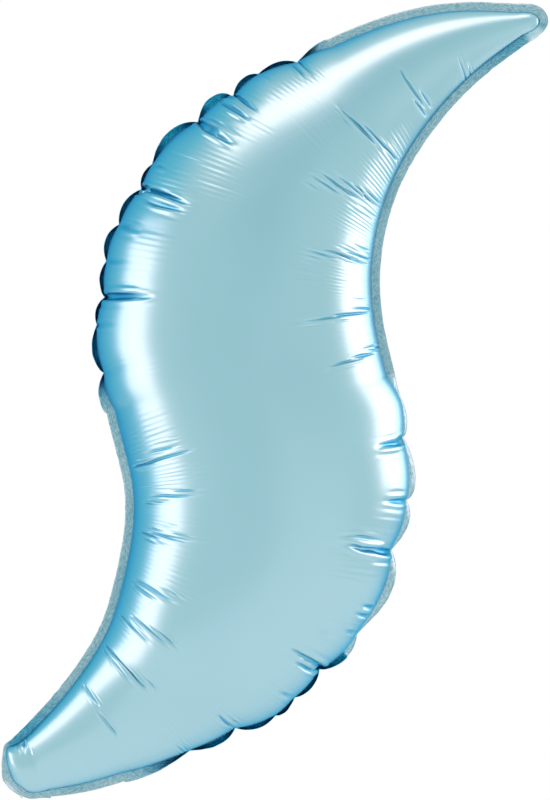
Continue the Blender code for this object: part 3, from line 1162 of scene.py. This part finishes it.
    def rim(self) -> "Rim":
        """Seam line all round the balloon, resampled at even steps."""
        line, *values = self._round_trip()
        steps = np.sqrt((np.diff(line, axis=0, append=line[:1]) ** 2).sum(axis=1))
        keep = steps > 1e-6
        columns = [column[keep] for column in (*line.T, *values)]
        arc = np.concatenate(([0.0], np.cumsum(steps[keep])))
        even = np.linspace(0.0, arc[-1], self.rim_points + 1)[:-1]
        closed = [np.append(column, column[0]) for column in columns]
        x, y, z, widths, curls, facing, tones = (np.interp(even, arc, column) for column in closed)
        spare = np.maximum(self.outline.margin - widths, 0.0) * np.minimum(self.tones.curl * curls, 1.0)
        crumple = np.zeros_like(x)
        for place_x, place_z, reach in self.outline.crumples:
            crumple += np.exp(-((x - place_x * MM) ** 2 + (z - place_z * MM) ** 2) / (reach * MM) ** 2)
        return Rim(np.stack([x, y, z], axis=1), widths, widths + spare, crumple, facing, tones, even)


@dataclass
class Rim:
    """Seam line all round, at even steps.

    Attributes:
        points: Points of the line.
        shown: Width of the margin that shows in plan.
        full: Its flat width; the rest of it is curled up.
        crumple: How much it is crumpled.
        facing: Sign of Y that the margin curls to.
        tone: How strong its painted shade is, from 0 to 1.
        arc: Metres along the line.
    """

    points: np.ndarray
    shown: np.ndarray
    full: np.ndarray
    crumple: np.ndarray
    facing: np.ndarray
    tone: np.ndarray
    arc: np.ndarray


@dataclass
class Margin:
    """Welded margin all round: flat along the insides of the bends, gathered on their outsides.

    Attributes:
        width: Its full width.
        thickness: Thickness of the two sealed films.
        bands: Rows of faces across it.
        tuck: How far its inner edge reaches in between the films.
        reach: Points to each side that its direction is smoothed over.
        curl: How sharply a curled margin turns at the seam, and what that grows by to its edge.
        tightest: Greatest curl, as a factor on these.
        waves: Length in metres and height in mm of its slow waves and of its quick ones.
        frayed: How far the quick waves push its edge in and out.
        crumpled: Height in mm that the quick waves gain where it is crumpled.
        seeds: Seeds of the slow and the quick waves.
    """

    width: float = 9.1 * MM
    thickness: float = 0.24 * MM
    bands: int = 6
    tuck: float = 1.0 * MM
    reach: int = 5
    curl: tuple[float, float] = (0.55, 0.9)
    tightest: float = 2.4
    waves: tuple[tuple[float, float], ...] = ((35.0 * MM, 0.45), (6.0 * MM, 0.12))
    frayed: float = 0.12 * MM
    crumpled: float = 0.9
    seeds: tuple[int, int] = (3, 4)

    def directions(self, rim: Rim) -> np.ndarray:
        """Outward directions in the seam plane, smoothed along the line."""
        plan = rim.points[:, [0, 2]]
        along = np.zeros_like(plan)
        for step in range(1, self.reach + 1):
            along += np.roll(plan, -step, axis=0) - np.roll(plan, step, axis=0)
        along /= np.hypot(along[:, 0], along[:, 1])[:, None]
        return np.stack([-along[:, 1], along[:, 0]], axis=1)

    def profile(self, rim: Rim) -> list[tuple[float, np.ndarray, np.ndarray]]:
        """Curls the margin up so far that just its shown width is left in plan.

        Args:
            rim: The seam line.

        Returns:
            Per ring from the inner edge outwards: share of the width, reach outwards and height.
        """
        root, growth = self.curl
        scales = np.linspace(0.0, self.tightest, 97)
        t = (np.arange(40) + 0.5) / 40
        shown = np.cos(np.outer(scales, root + growth * t)).mean(axis=1)
        bend = np.interp(-np.clip(rim.shown / rim.full, -0.1, 1.0), -shown, scales)
        plan, lift = np.zeros_like(bend), np.zeros_like(bend)
        rings = [(-self.tuck / self.width, np.full_like(bend, -self.tuck), lift)]
        previous = 0.0
        for share in np.linspace(0.0, 1.0, self.bands + 1)[1:]:
            angle = bend * (root + growth * 0.5 * (share + previous))
            plan = plan + np.cos(angle) * (share - previous) * rim.full
            lift = lift + np.sin(angle) * (share - previous) * rim.full
            previous = share
            rings.append((share, plan, lift))
        return rings

    def build(self, rim: Rim) -> bpy.types.Object:
        """Makes the margin round a seam line.

        Args:
            rim: The seam line.

        Returns:
            The margin, with its flat coordinates, the mask of its painted shade and its crumple as
            attributes.
        """
        out = self.directions(rim)
        (_, slow_height), (_, quick_height) = self.waves
        slow, quick = (wander(rim.arc, wave, seed) for (wave, _), seed in zip(self.waves, self.seeds))
        rings = self.profile(rim)
        points, flat = [], []
        for share, plan, lift in rings:
            reach = max(share, 0.0)
            rough = quick_height + self.crumpled * rim.crumple * math.sin(6.0 * share + 0.5)
            across = plan + reach * self.frayed * quick
            ring = rim.points.copy()
            ring[:, 0] += out[:, 0] * across
            ring[:, 2] += out[:, 1] * across
            ring[:, 1] += rim.facing * lift + reach * MM * (slow_height * slow + rough * quick)
            points.append(ring)
            flat.append(np.stack([rim.arc, np.full_like(rim.arc, share * self.width), 0 * rim.arc], axis=1))
        count, rows = len(rim.arc), len(rings)
        index = np.arange(rows * count).reshape(rows, count)
        after = np.roll(index, -1, axis=1)
        faces = np.stack([index[:-1], after[:-1], after[1:], index[1:]], axis=2).reshape(-1, 4)
        mesh = bpy.data.meshes.new("welded_margin")
        mesh.from_pydata(np.concatenate(points).tolist(), [], faces.tolist())
        piece = bpy.data.objects.new("welded_margin", mesh)
        bpy.context.scene.collection.objects.link(piece)
        write_attribute(piece, "weld", np.concatenate(flat))
        # Mask of the margin's painted shade
        write_attribute(piece, "gathered", np.tile(np.clip(rim.tone, 0.0, 1.0), rows))
        write_attribute(piece, "crumple", np.tile(rim.crumple, rows))
        apply_modifier(piece, "SOLIDIFY", thickness=self.thickness, offset=0.0)
        mesh.shade_smooth()
        return piece


@dataclass
class Inlet:
    """Crinkled end of the clear filling valve, on the margin at the tail's cut corner.

    Attributes:
        inner: Ends of its edge at the film, as x and z in mm.
        outer: Ends of its outer edge.
        grid: Faces along and across it.
        lift: How far it lies before the seam plane.
        nearest: How near to the seam plane it comes.
        crinkle: Height of a crinkle that goes once over it; quicker ones are lower.
        waves: How often each crinkle goes over it.
        lean: Greatest slant of a crinkle, as a share of its width.
        seed: Seed of the crinkles.
        slack: Its flat width over the width that shows.
        thickness: Its thickness.
    """

    inner: tuple[tuple[float, float], ...] = ((-225.0, -347.5), (-210.5, -362.5))
    outer: tuple[tuple[float, float], ...] = ((-233.0, -353.0), (-216.0, -369.5))
    grid: tuple[int, int] = (48, 26)
    lift: float = 1.7 * MM
    nearest: float = 0.3 * MM
    crinkle: float = 0.5 * MM
    waves: tuple[float, ...] = (2.0, 3.5, 5.0, 7.5)
    lean: float = 0.3
    seed: int = 21
    slack: float = 1.12
    thickness: float = 0.08 * MM

    def flat(self) -> tuple[float, float]:
        """Its flat width and length."""
        (a, b), (c, d) = (np.array(line) * MM for line in (self.inner, self.outer))
        wide = 0.5 * (np.hypot(*(c - a)) + np.hypot(*(d - b)))
        return self.slack * float(wide), 0.5 * float(np.hypot(*(b - a)) + np.hypot(*(d - c)))

    def build(self) -> bpy.types.Object:
        """Makes the sheet, with its flat coordinates as an attribute."""
        columns, rows = self.grid[0] + 1, self.grid[1] + 1
        t = np.linspace(0.0, 1.0, columns)[None, :, None]
        u = np.linspace(0.0, 1.0, rows)[:, None, None]
        (a, b), (c, d) = (np.array(line) * MM for line in (self.inner, self.outer))
        plan = (1 - u) * ((1 - t) * a + t * b) + u * ((1 - t) * c + t * d)
        draws = np.random.default_rng(self.seed)
        height = np.full((rows, columns), self.lift)
        for waves in self.waves:
            lean, phase = draws.uniform(-self.lean, self.lean), draws.uniform(0.0, 2.0 * math.pi)
            turns = waves * (u + lean * t)[:, :, 0]
            height += self.crinkle * np.sin(2.0 * math.pi * turns + phase) / math.sqrt(waves)
        bpy.ops.object.select_all(action="DESELECT")
        bpy.ops.mesh.primitive_grid_add(x_subdivisions=columns - 1, y_subdivisions=rows - 1)
        piece = bpy.context.active_object
        piece.name = piece.data.name = "inlet_sheet"
        points = np.stack([plan[:, :, 0], -np.maximum(height, self.nearest), plan[:, :, 1]], axis=2)
        piece.data.vertices.foreach_set("co", points.astype(np.float32).ravel())
        wide, long = self.flat()
        flat = np.stack([np.broadcast_to(t[:, :, 0] * long, height.shape),
                         np.broadcast_to(u[:, :, 0] * wide, height.shape), 0.0 * height], axis=2)
        write_attribute(piece, "sheet", flat.reshape(-1, 3))
        piece.data.update()
        if piece.data.polygons[0].normal.y > 0.0:
            piece.data.flip_normals()
        apply_modifier(piece, "SOLIDIFY", thickness=self.thickness, offset=0.0)
        piece.data.shade_smooth()
        return piece


# Finishes


class Link:
    """Output of a node, usable in Python arithmetic."""

    def __init__(self, graph: "Graph", socket: bpy.types.NodeSocket) -> None:
        """Wraps a socket of a graph."""
        self.graph = graph
        self.socket = socket

    def _math(self, operation: str, first: "Link | float", second: "Link | float") -> "Link":
        """Adds one Math node and returns its output."""
        return self.graph.node("ShaderNodeMath", {"operation": operation}, {0: first, 1: second})

    def __add__(self, other: "Link | float") -> "Link":
        """Sum."""
        return self._math("ADD", self, other)

    __radd__ = __add__

    def __mul__(self, other: "Link | float") -> "Link":
        """Product."""
        return self._math("MULTIPLY", self, other)

    __rmul__ = __mul__

    def __sub__(self, other: "Link | float") -> "Link":
        """Difference."""
        return self._math("SUBTRACT", self, other)

    def __rsub__(self, other: "Link | float") -> "Link":
        """Reflected difference."""
        return self._math("SUBTRACT", other, self)


class Graph:
    """Nodes of one tree."""

    def __init__(self, tree: bpy.types.NodeTree) -> None:
        """Takes the tree."""
        self.tree = tree

    def node(self, kind: str, settings: dict, inputs: dict, output: int | str | None = 0) -> "Link | None":
        """Adds a node.

        Args:
            kind: Its type.
            settings: Its settings, set first.
            inputs: Values or links of its sockets, by name or number.
            output: Which output is returned, None for a node that has none.

        Returns:
            The chosen output.
        """
        made = self.tree.nodes.new(kind)
        for name, value in settings.items():
            setattr(made, name, value)
        for name, value in inputs.items():
            if isinstance(value, Link):
                self.tree.links.new(value.socket, made.inputs[name])
            else:
                made.inputs[name].default_value = value
        return None if output is None else Link(self, made.outputs[output])

    def attribute(self, name: str, output: str) -> Link:
        """Reads a mesh attribute."""
        return self.node("ShaderNodeAttribute", {"attribute_name": name}, {}, output)

    def stretched(self, vector: Link, factors: tuple[float, float, float]) -> Link:
        """Scales a vector by its parts."""
        settings = {"operation": "MULTIPLY"}
        return self.node("ShaderNodeVectorMath", settings, {0: vector, 1: factors})

    def noise(self, vector: Link, scale: float, detail: float = 2.0) -> Link:
        """Noise from 0 to 1."""
        inputs = {"Vector": vector, "Scale": scale, "Detail": detail}
        return self.node("ShaderNodeTexNoise", {}, inputs, "Fac")

    def blend(self, factor: Link, first: "Link | tuple", second: "Link | tuple") -> Link:
        """Mixes two colours."""
        first, second = (x if isinstance(x, Link) else (*x, 1.0) for x in (first, second))
        inputs = {0: factor, 6: first, 7: second}
        return self.node("ShaderNodeMix", {"data_type": "RGBA"}, inputs, 2)

    def ramp(self, value: Link, low: float, high: float) -> Link:
        """Smooth step from 0 at low to 1 at high."""
        inputs = {"Value": value, "From Min": low, "From Max": high}
        return self.node("ShaderNodeMapRange", {"interpolation_type": "SMOOTHSTEP"}, inputs)

    def along(self, vector: Link, axis: tuple[float, float, float]) -> Link:
        """Part of a vector along an axis, times the axis's length."""
        settings = {"operation": "DOT_PRODUCT"}
        return self.node("ShaderNodeVectorMath", settings, {0: vector, 1: axis}, "Value")

    def bump(self, height: Link, distance: float) -> Link:
        """Normal bumped by a height in units of distance."""
        inputs = {"Height": height, "Distance": distance, "Strength": 1.0}
        return self.node("ShaderNodeBump", {}, inputs)


class Finish(Graph):
    """Nodes of one new material with its Principled shader."""

    def __init__(self, name: str) -> None:
        """Makes the material."""
        self.material = bpy.data.materials.new(name)
        self.material.use_nodes = True
        super().__init__(self.material.node_tree)
        self.shader = self.tree.nodes["Principled BSDF"]

    def set(self, **inputs: "Link | float | tuple") -> None:
        """Sets or links sockets of the shader, written with _ for each space."""
        for name, value in inputs.items():
            socket = self.shader.inputs[name.replace("_", " ")]
            if isinstance(value, Link):
                self.tree.links.new(value.socket, socket)
            else:
                socket.default_value = value


@dataclass(frozen=True)
class FoilFinish:
    """Satin metallised film under a blue lacquer that looks deeper at a slant, with painted shade in its
    folds and along its seam.

    Attributes:
        colour: Its colour.
        shaded: Its darker patches' brightness over that colour.
        painted_shade_colour: Colour of the painted shade in the folds and along the seam.
        slant_colour: Tint of what it mirrors at a slant.
        roughness: Its middle roughness.
        uneven: Range of its roughness.
        clouds: How close its paler and darker patches are, per metre.
        line_height: Height of its fine lines.
        lines: How close they are, along the balloon and across it, per metre.
        fold: Depths of a fold between which its painted shade grows, and how strong that shade is.
        seam: Distances from the seam between which its painted shade fades, and how strong that shade is.
    """

    colour: tuple[float, float, float] = (0.62, 0.81, 0.85)
    painted_shade_colour: tuple[float, float, float] = (0.10, 0.50, 0.70)
    slant_colour: tuple[float, float, float] = (0.03, 0.55, 0.86)
    roughness: float = 0.29
    uneven: float = 0.06
    clouds: float = 9.0
    shaded: float = 0.93
    line_height: float = 0.02 * MM
    lines: tuple[float, float, float] = (420.0, 22.0, 0.0)
    fold: tuple[float, float, float] = (0.20, 0.85, 0.70)
    seam: tuple[float, float, float] = (0.6 * MM, 3.6 * MM, 0.75)

    def material(self) -> bpy.types.Material:
        """Makes the material, with painted shade of deep blue in the folds and along the seam."""
        graph = Finish("satin_foil")
        film = graph.attribute("film", "Vector")
        lines = graph.noise(graph.stretched(film, self.lines), 1.0)
        cloud = graph.noise(film, self.clouds)
        darker = tuple(self.shaded * part for part in self.colour)
        # Painted shade: deep blue in the folds, by their depth, and along the seam
        shallow, full, fold_tint = self.fold
        fold = graph.ramp(graph.attribute("sunk", "Fac"), shallow, full) * fold_tint
        near, far, seam_tint = self.seam
        seam = (1.0 - graph.ramp(graph.along(film, (0.0, 0.0, 1.0)), near, far)) * seam_tint
        depth = fold + seam - fold * seam
        graph.set(
            Base_Color=graph.blend(depth, graph.blend(cloud, darker, self.colour), self.painted_shade_colour),
            Metallic=1.0, Roughness=cloud * self.uneven + (self.roughness - 0.5 * self.uneven),
            Specular_Tint=(*self.slant_colour, 1.0), Normal=graph.bump(lines, self.line_height),
        )
        return graph.material


@dataclass(frozen=True)
class WeldFinish:
    """Crimped margin: greyer than the film, flecked, with painted shade of deep blue where it is gathered,
    a painted shade line along the seam and a painted highlight where it is crumpled.

    Attributes:
        pale: Colour of its pale flecks.
        dark: Colour of its dark ones.
        painted_shade_pale: Colour of the pale flecks where it has painted shade.
        painted_shade_dark: Colour of the dark ones there.
        painted_glint: Its painted highlight colour where it is crumpled.
        seam: Colour of the painted shade line along the seam.
        slant_colour: Tint of what it mirrors at a slant.
        roughness: Its middle roughness.
        uneven: Range of its roughness.
        polish: How much smoother it is where it is crumpled.
        slant: Angle of the flecks to the seam, in degrees.
        fleck: Width and length of a fleck.
        relief: Height of the flecks.
        levels: Levels of the noise under which a fleck is dark and over which it is pale.
        patches: How close the patches are in which the flecks slant one way, per metre.
        change: Levels of the noise between which one slant gives way to the other.
        apart: Distance between the noises of both slants.
        crumpling: Degrees of crumple between which it turns smoother and takes its painted highlight.
        seam_line: Distances from the seam between which its painted shade line fades.
    """

    pale: tuple[float, float, float] = (0.68, 0.78, 0.80)
    dark: tuple[float, float, float] = (0.30, 0.48, 0.54)
    painted_shade_pale: tuple[float, float, float] = (0.06, 0.52, 0.70)
    painted_shade_dark: tuple[float, float, float] = (0.01, 0.23, 0.38)
    painted_glint: tuple[float, float, float] = (0.88, 0.92, 0.93)
    seam: tuple[float, float, float] = (0.03, 0.30, 0.45)
    slant_colour: tuple[float, float, float] = (0.3, 0.6, 0.8)
    roughness: float = 0.36
    uneven: float = 0.3
    polish: float = 0.16
    slant: float = 26.0
    fleck: tuple[float, float] = (1.1 * MM, 5.0 * MM)
    relief: float = 0.5 * MM
    levels: tuple[float, float] = (0.30, 0.70)
    patches: float = 110.0
    change: tuple[float, float] = (0.45, 0.55)
    apart: float = 5.0
    crumpling: tuple[float, float] = (0.15, 0.85)
    seam_line: tuple[float, float] = (0.2 * MM, 1.3 * MM)

    def flecks(self, graph: Finish, weld: Link, side: float) -> Link:
        """Short streaks at a slant to the seam, to one side or the other."""
        turn = side * math.radians(self.slant)
        cos, sin = math.cos(turn), math.sin(turn)
        width, length = self.fleck
        parts = {
            "X": graph.along(weld, (-sin / width, cos / width, 0.0)),
            "Y": graph.along(weld, (cos / length, sin / length, 0.0)), "Z": self.apart * side,
        }
        return graph.noise(graph.node("ShaderNodeCombineXYZ", {}, parts), 1.0, 3.0)

    def material(self) -> bpy.types.Material:
        """Makes the material."""
        graph = Finish("crimped_foil")
        weld = graph.attribute("weld", "Vector")
        patch = graph.ramp(graph.noise(weld, self.patches, 0.0), *self.change)
        one, other = self.flecks(graph, weld, 1.0), self.flecks(graph, weld, -1.0)
        streak = one * patch + other * (1.0 - patch)
        tone = graph.ramp(streak, *self.levels)
        # Painted shade of deep blue where the mask is, over the flecks
        mask = graph.attribute("gathered", "Fac")
        crumpled = graph.ramp(graph.attribute("crumple", "Fac"), *self.crumpling)
        # Painted highlight in near white where the margin is crumpled
        plain = graph.blend(crumpled, graph.blend(tone, self.dark, self.pale), self.painted_glint)
        gathered = graph.blend(tone, self.painted_shade_dark, self.painted_shade_pale)
        # Painted shade line where the film meets the margin
        near = 1.0 - graph.ramp(graph.along(weld, (0.0, 1.0, 0.0)), *self.seam_line)
        graph.set(
            Base_Color=graph.blend(near, graph.blend(mask * (1.0 - crumpled), plain, gathered), self.seam),
            Metallic=1.0, Normal=graph.bump(streak, self.relief),
            Roughness=streak * self.uneven + (self.roughness - 0.5 * self.uneven) - crumpled * self.polish,
            Specular_Tint=(*self.slant_colour, 1.0),
        )
        return graph.material


@dataclass(frozen=True)
class ClearFinish:
    """Thin clear film that shimmers in faint colours.

    Attributes:
        colour: Its colour.
        clearest: Opacity where it is clearest.
        streaks: How much more opaque its streaks are.
        levels: Levels of the noise under which it is clearest and over which a streak is full.
        grain: How close the streaks are, along it and across it, per metre.
        relief: Height of the streaks.
    """

    colour: tuple[float, float, float] = (0.86, 0.95, 0.98)
    clearest: float = 0.15
    streaks: float = 0.65
    levels: tuple[float, float] = (0.40, 0.60)
    grain: tuple[float, float, float] = (180.0, 700.0, 0.0)
    relief: float = 0.2 * MM

    def material(self) -> bpy.types.Material:
        """Makes the material."""
        graph = Finish("clear_film")
        sheet = graph.attribute("sheet", "Vector")
        haze = graph.noise(graph.stretched(sheet, self.grain), 1.0)
        graph.set(
            Base_Color=(*self.colour, 1.0), Roughness=0.12, IOR=1.5,
            Alpha=graph.ramp(haze, *self.levels) * self.streaks + self.clearest,
            Coat_Weight=1.0, Coat_Roughness=0.06, Thin_Film_Thickness=420.0, Thin_Film_IOR=1.45,
            Normal=graph.bump(haze, self.relief),
        )
        return graph.material


# Studio


@dataclass(frozen=True)
class SoftBox:
    """Area light that faces the balloon.

    Attributes:
        name: Its name.
        azimuth: Degrees round from the camera's side, to the right.
        height: Degrees up.
        distance: Distance of its middle from the balloon's middle.
        size: Width and height.
        power: Watts.
        colour: Its colour.
    """

    name: str
    azimuth: float
    height: float
    distance: float
    size: tuple[float, float]
    power: float
    colour: tuple[float, float, float] = (1.0, 0.65, 0.62)

    def place(self) -> None:
        """Adds the light, out of the camera's sight."""
        azimuth, up = math.radians(self.azimuth), math.radians(self.height)
        data = bpy.data.lights.new(self.name, "AREA")
        data.shape = "RECTANGLE"
        data.size, data.size_y = self.size
        data.energy = self.power
        data.color = self.colour
        light = bpy.data.objects.new(self.name, data)
        light.location = (
            self.distance * math.cos(up) * math.sin(azimuth),
            -self.distance * math.cos(up) * math.cos(azimuth), self.distance * math.sin(up),
        )
        light.rotation_euler = (math.pi / 2 - up, 0.0, azimuth)
        light.visible_camera = False
        bpy.context.scene.collection.objects.link(light)


@dataclass(frozen=True)
class Shade:
    """Darker side of the surroundings.

    Attributes:
        way: Direction of its middle, 1 long.
        low: Cosine of the angle from it at which it starts.
        high: Cosine of the angle within which it is full.
        colour: Its colour.
    """

    way: tuple[float, float, float]
    low: float
    high: float
    colour: tuple[float, float, float]


@dataclass
class Studio:
    """Camera, soft boxes, pale surroundings and a pale floor.

    Attributes:
        pixel: Metres per pixel of the photograph at the seam plane.
        centre: X and Z that the middle of the photograph shows.
        distance: Distance of the camera.
        frame_height: Height of the photograph in pixels.
        sensor: Height of the camera's sensor in mm.
        boxes: Its soft boxes.
        ahead: Colour of the surroundings where no shade is.
        shades: Darker sides of the surroundings.
        level: Height of the floor.
        glow: How strongly the floor glows.
    """

    pixel: float = 0.94 * MM
    centre: tuple[float, float] = (21.6 * MM, 4.7 * MM)
    distance: float = 3.2
    frame_height: int = 800
    sensor: float = 24.0
    boxes: tuple[SoftBox, ...] = (
        SoftBox("left_box", -82.0, 4.5, 3.6, (2.0, 3.3), 31.0),
        SoftBox("right_box", 115.0, 10.0, 3.6, (3.5, 2.4), 46.0),
        SoftBox("overhead_box", 0.0, 68.0, 2.6, (2.5, 1.15), 12.6),
        SoftBox("right_fill", 36.0, -20.0, 3.6, (3.6, 3.0), 3.6),
    )
    ahead: tuple[float, float, float] = (0.51, 0.71, 0.75)
    shades: tuple[Shade, ...] = (
        Shade((0.21, -0.79, 0.57), 0.86, 1.0, (0.42, 0.63, 0.69)),
        Shade((-0.80, 0.55, 0.24), 0.40, 0.85, (0.13, 0.56, 0.72)),
    )
    level: float = -0.64
    glow: float = 0.065

    def camera(self) -> None:
        """Makes the camera at the photograph's angle."""
        data = bpy.data.cameras.new("camera")
        data.sensor_fit = "VERTICAL"
        data.sensor_height = self.sensor
        data.lens = self.sensor * self.distance / (self.frame_height * self.pixel)
        camera = bpy.data.objects.new("camera", data)
        camera.location = (self.centre[0], -self.distance, self.centre[1])
        camera.rotation_euler = (math.pi / 2, 0.0, 0.0)
        bpy.context.scene.collection.objects.link(camera)
        bpy.context.scene.camera = camera

    def world(self) -> None:
        """Makes a white background for the camera and dimmer surroundings for the rest."""
        world = bpy.data.worlds.new("surroundings")
        world.use_nodes = True
        bpy.context.scene.world = world
        world.node_tree.nodes.clear()
        graph = Graph(world.node_tree)
        way = graph.node("ShaderNodeTexCoord", {}, {}, "Generated")
        tone: Link | tuple = self.ahead
        for shade in self.shades:
            near = graph.ramp(graph.along(way, shade.way), shade.low, shade.high)
            tone = graph.blend(near, tone, shade.colour)
        seen = graph.node("ShaderNodeBackground", {}, {"Color": (1.0, 1.0, 1.0, 1.0)})
        around = graph.node("ShaderNodeBackground", {}, {"Color": tone})
        camera = graph.node("ShaderNodeLightPath", {}, {}, "Is Camera Ray")
        mixed = graph.node("ShaderNodeMixShader", {}, {0: camera, 1: around, 2: seen})
        graph.node("ShaderNodeOutputWorld", {}, {"Surface": mixed}, None)

    def floor(self) -> None:
        """Lays a pale floor under the balloon."""
        bpy.ops.object.select_all(action="DESELECT")
        bpy.ops.mesh.primitive_plane_add(size=3.0, location=(0.0, 0.0, self.level))
        floor = bpy.context.active_object
        floor.name = "floor"
        bpy.ops.object.transform_apply(location=True, rotation=False, scale=False)
        graph = Finish("pale_floor")
        graph.set(
            Base_Color=(0.92, 0.93, 0.93, 1.0), Roughness=0.9,
            Emission_Color=(1.0, 0.92, 0.94, 1.0), Emission_Strength=self.glow,
        )
        floor.data.materials.append(graph.material)

    def set_up(self) -> None:
        """Builds the whole studio."""
        self.camera()
        self.world()
        self.floor()
        for box in self.boxes:
            box.place()
        bpy.context.scene.view_settings.view_transform = "Standard"


def main() -> None:
    """Builds the balloon and its studio."""
    logging.basicConfig(level=logging.INFO, format="%(message)s")
    for item in [o for o in bpy.data.objects if o.name in ("Cube", "Light", "Camera")]:
        bpy.data.objects.remove(item)
    Studio().set_up()
    films = Films(Outline())
    films.solve()
    foil = FoilFinish().material()
    weld = WeldFinish().material()
    for name, face, node, cut in (
        ("front_foil", Face.FRONT, "front_film", films.cuts[0]),
        ("back_foil", Face.BACK, "back_film", films.cuts[1]),
    ):
        panel = films.panel(name, face)
        panel.data.materials.append(foil)
        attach(panel, "root")
        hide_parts(node)
        cut.size()
        cut.area()
        LOG.info("%s: %d points, cut from %.4f square metres", name, films.front[0].size, cut.area())
    margin = Margin().build(films.rim())
    margin.data.materials.append(weld)
    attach(margin, "root")
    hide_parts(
        "lower_left_margin", "upper_left_margin", "lower_right_margin",
        "upper_right_margin", "tip_margin", "tail_margin",
    )
    LOG.info("%s: %d faces", margin.name, len(margin.data.polygons))
    inlet = Inlet()
    sheet = inlet.build()
    sheet.data.materials.append(ClearFinish().material())
    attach(sheet, "root")
    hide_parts("inlet_film")
    LOG.info("%s: %d faces", sheet.name, len(sheet.data.polygons))


if __name__ == "__main__":
    main()
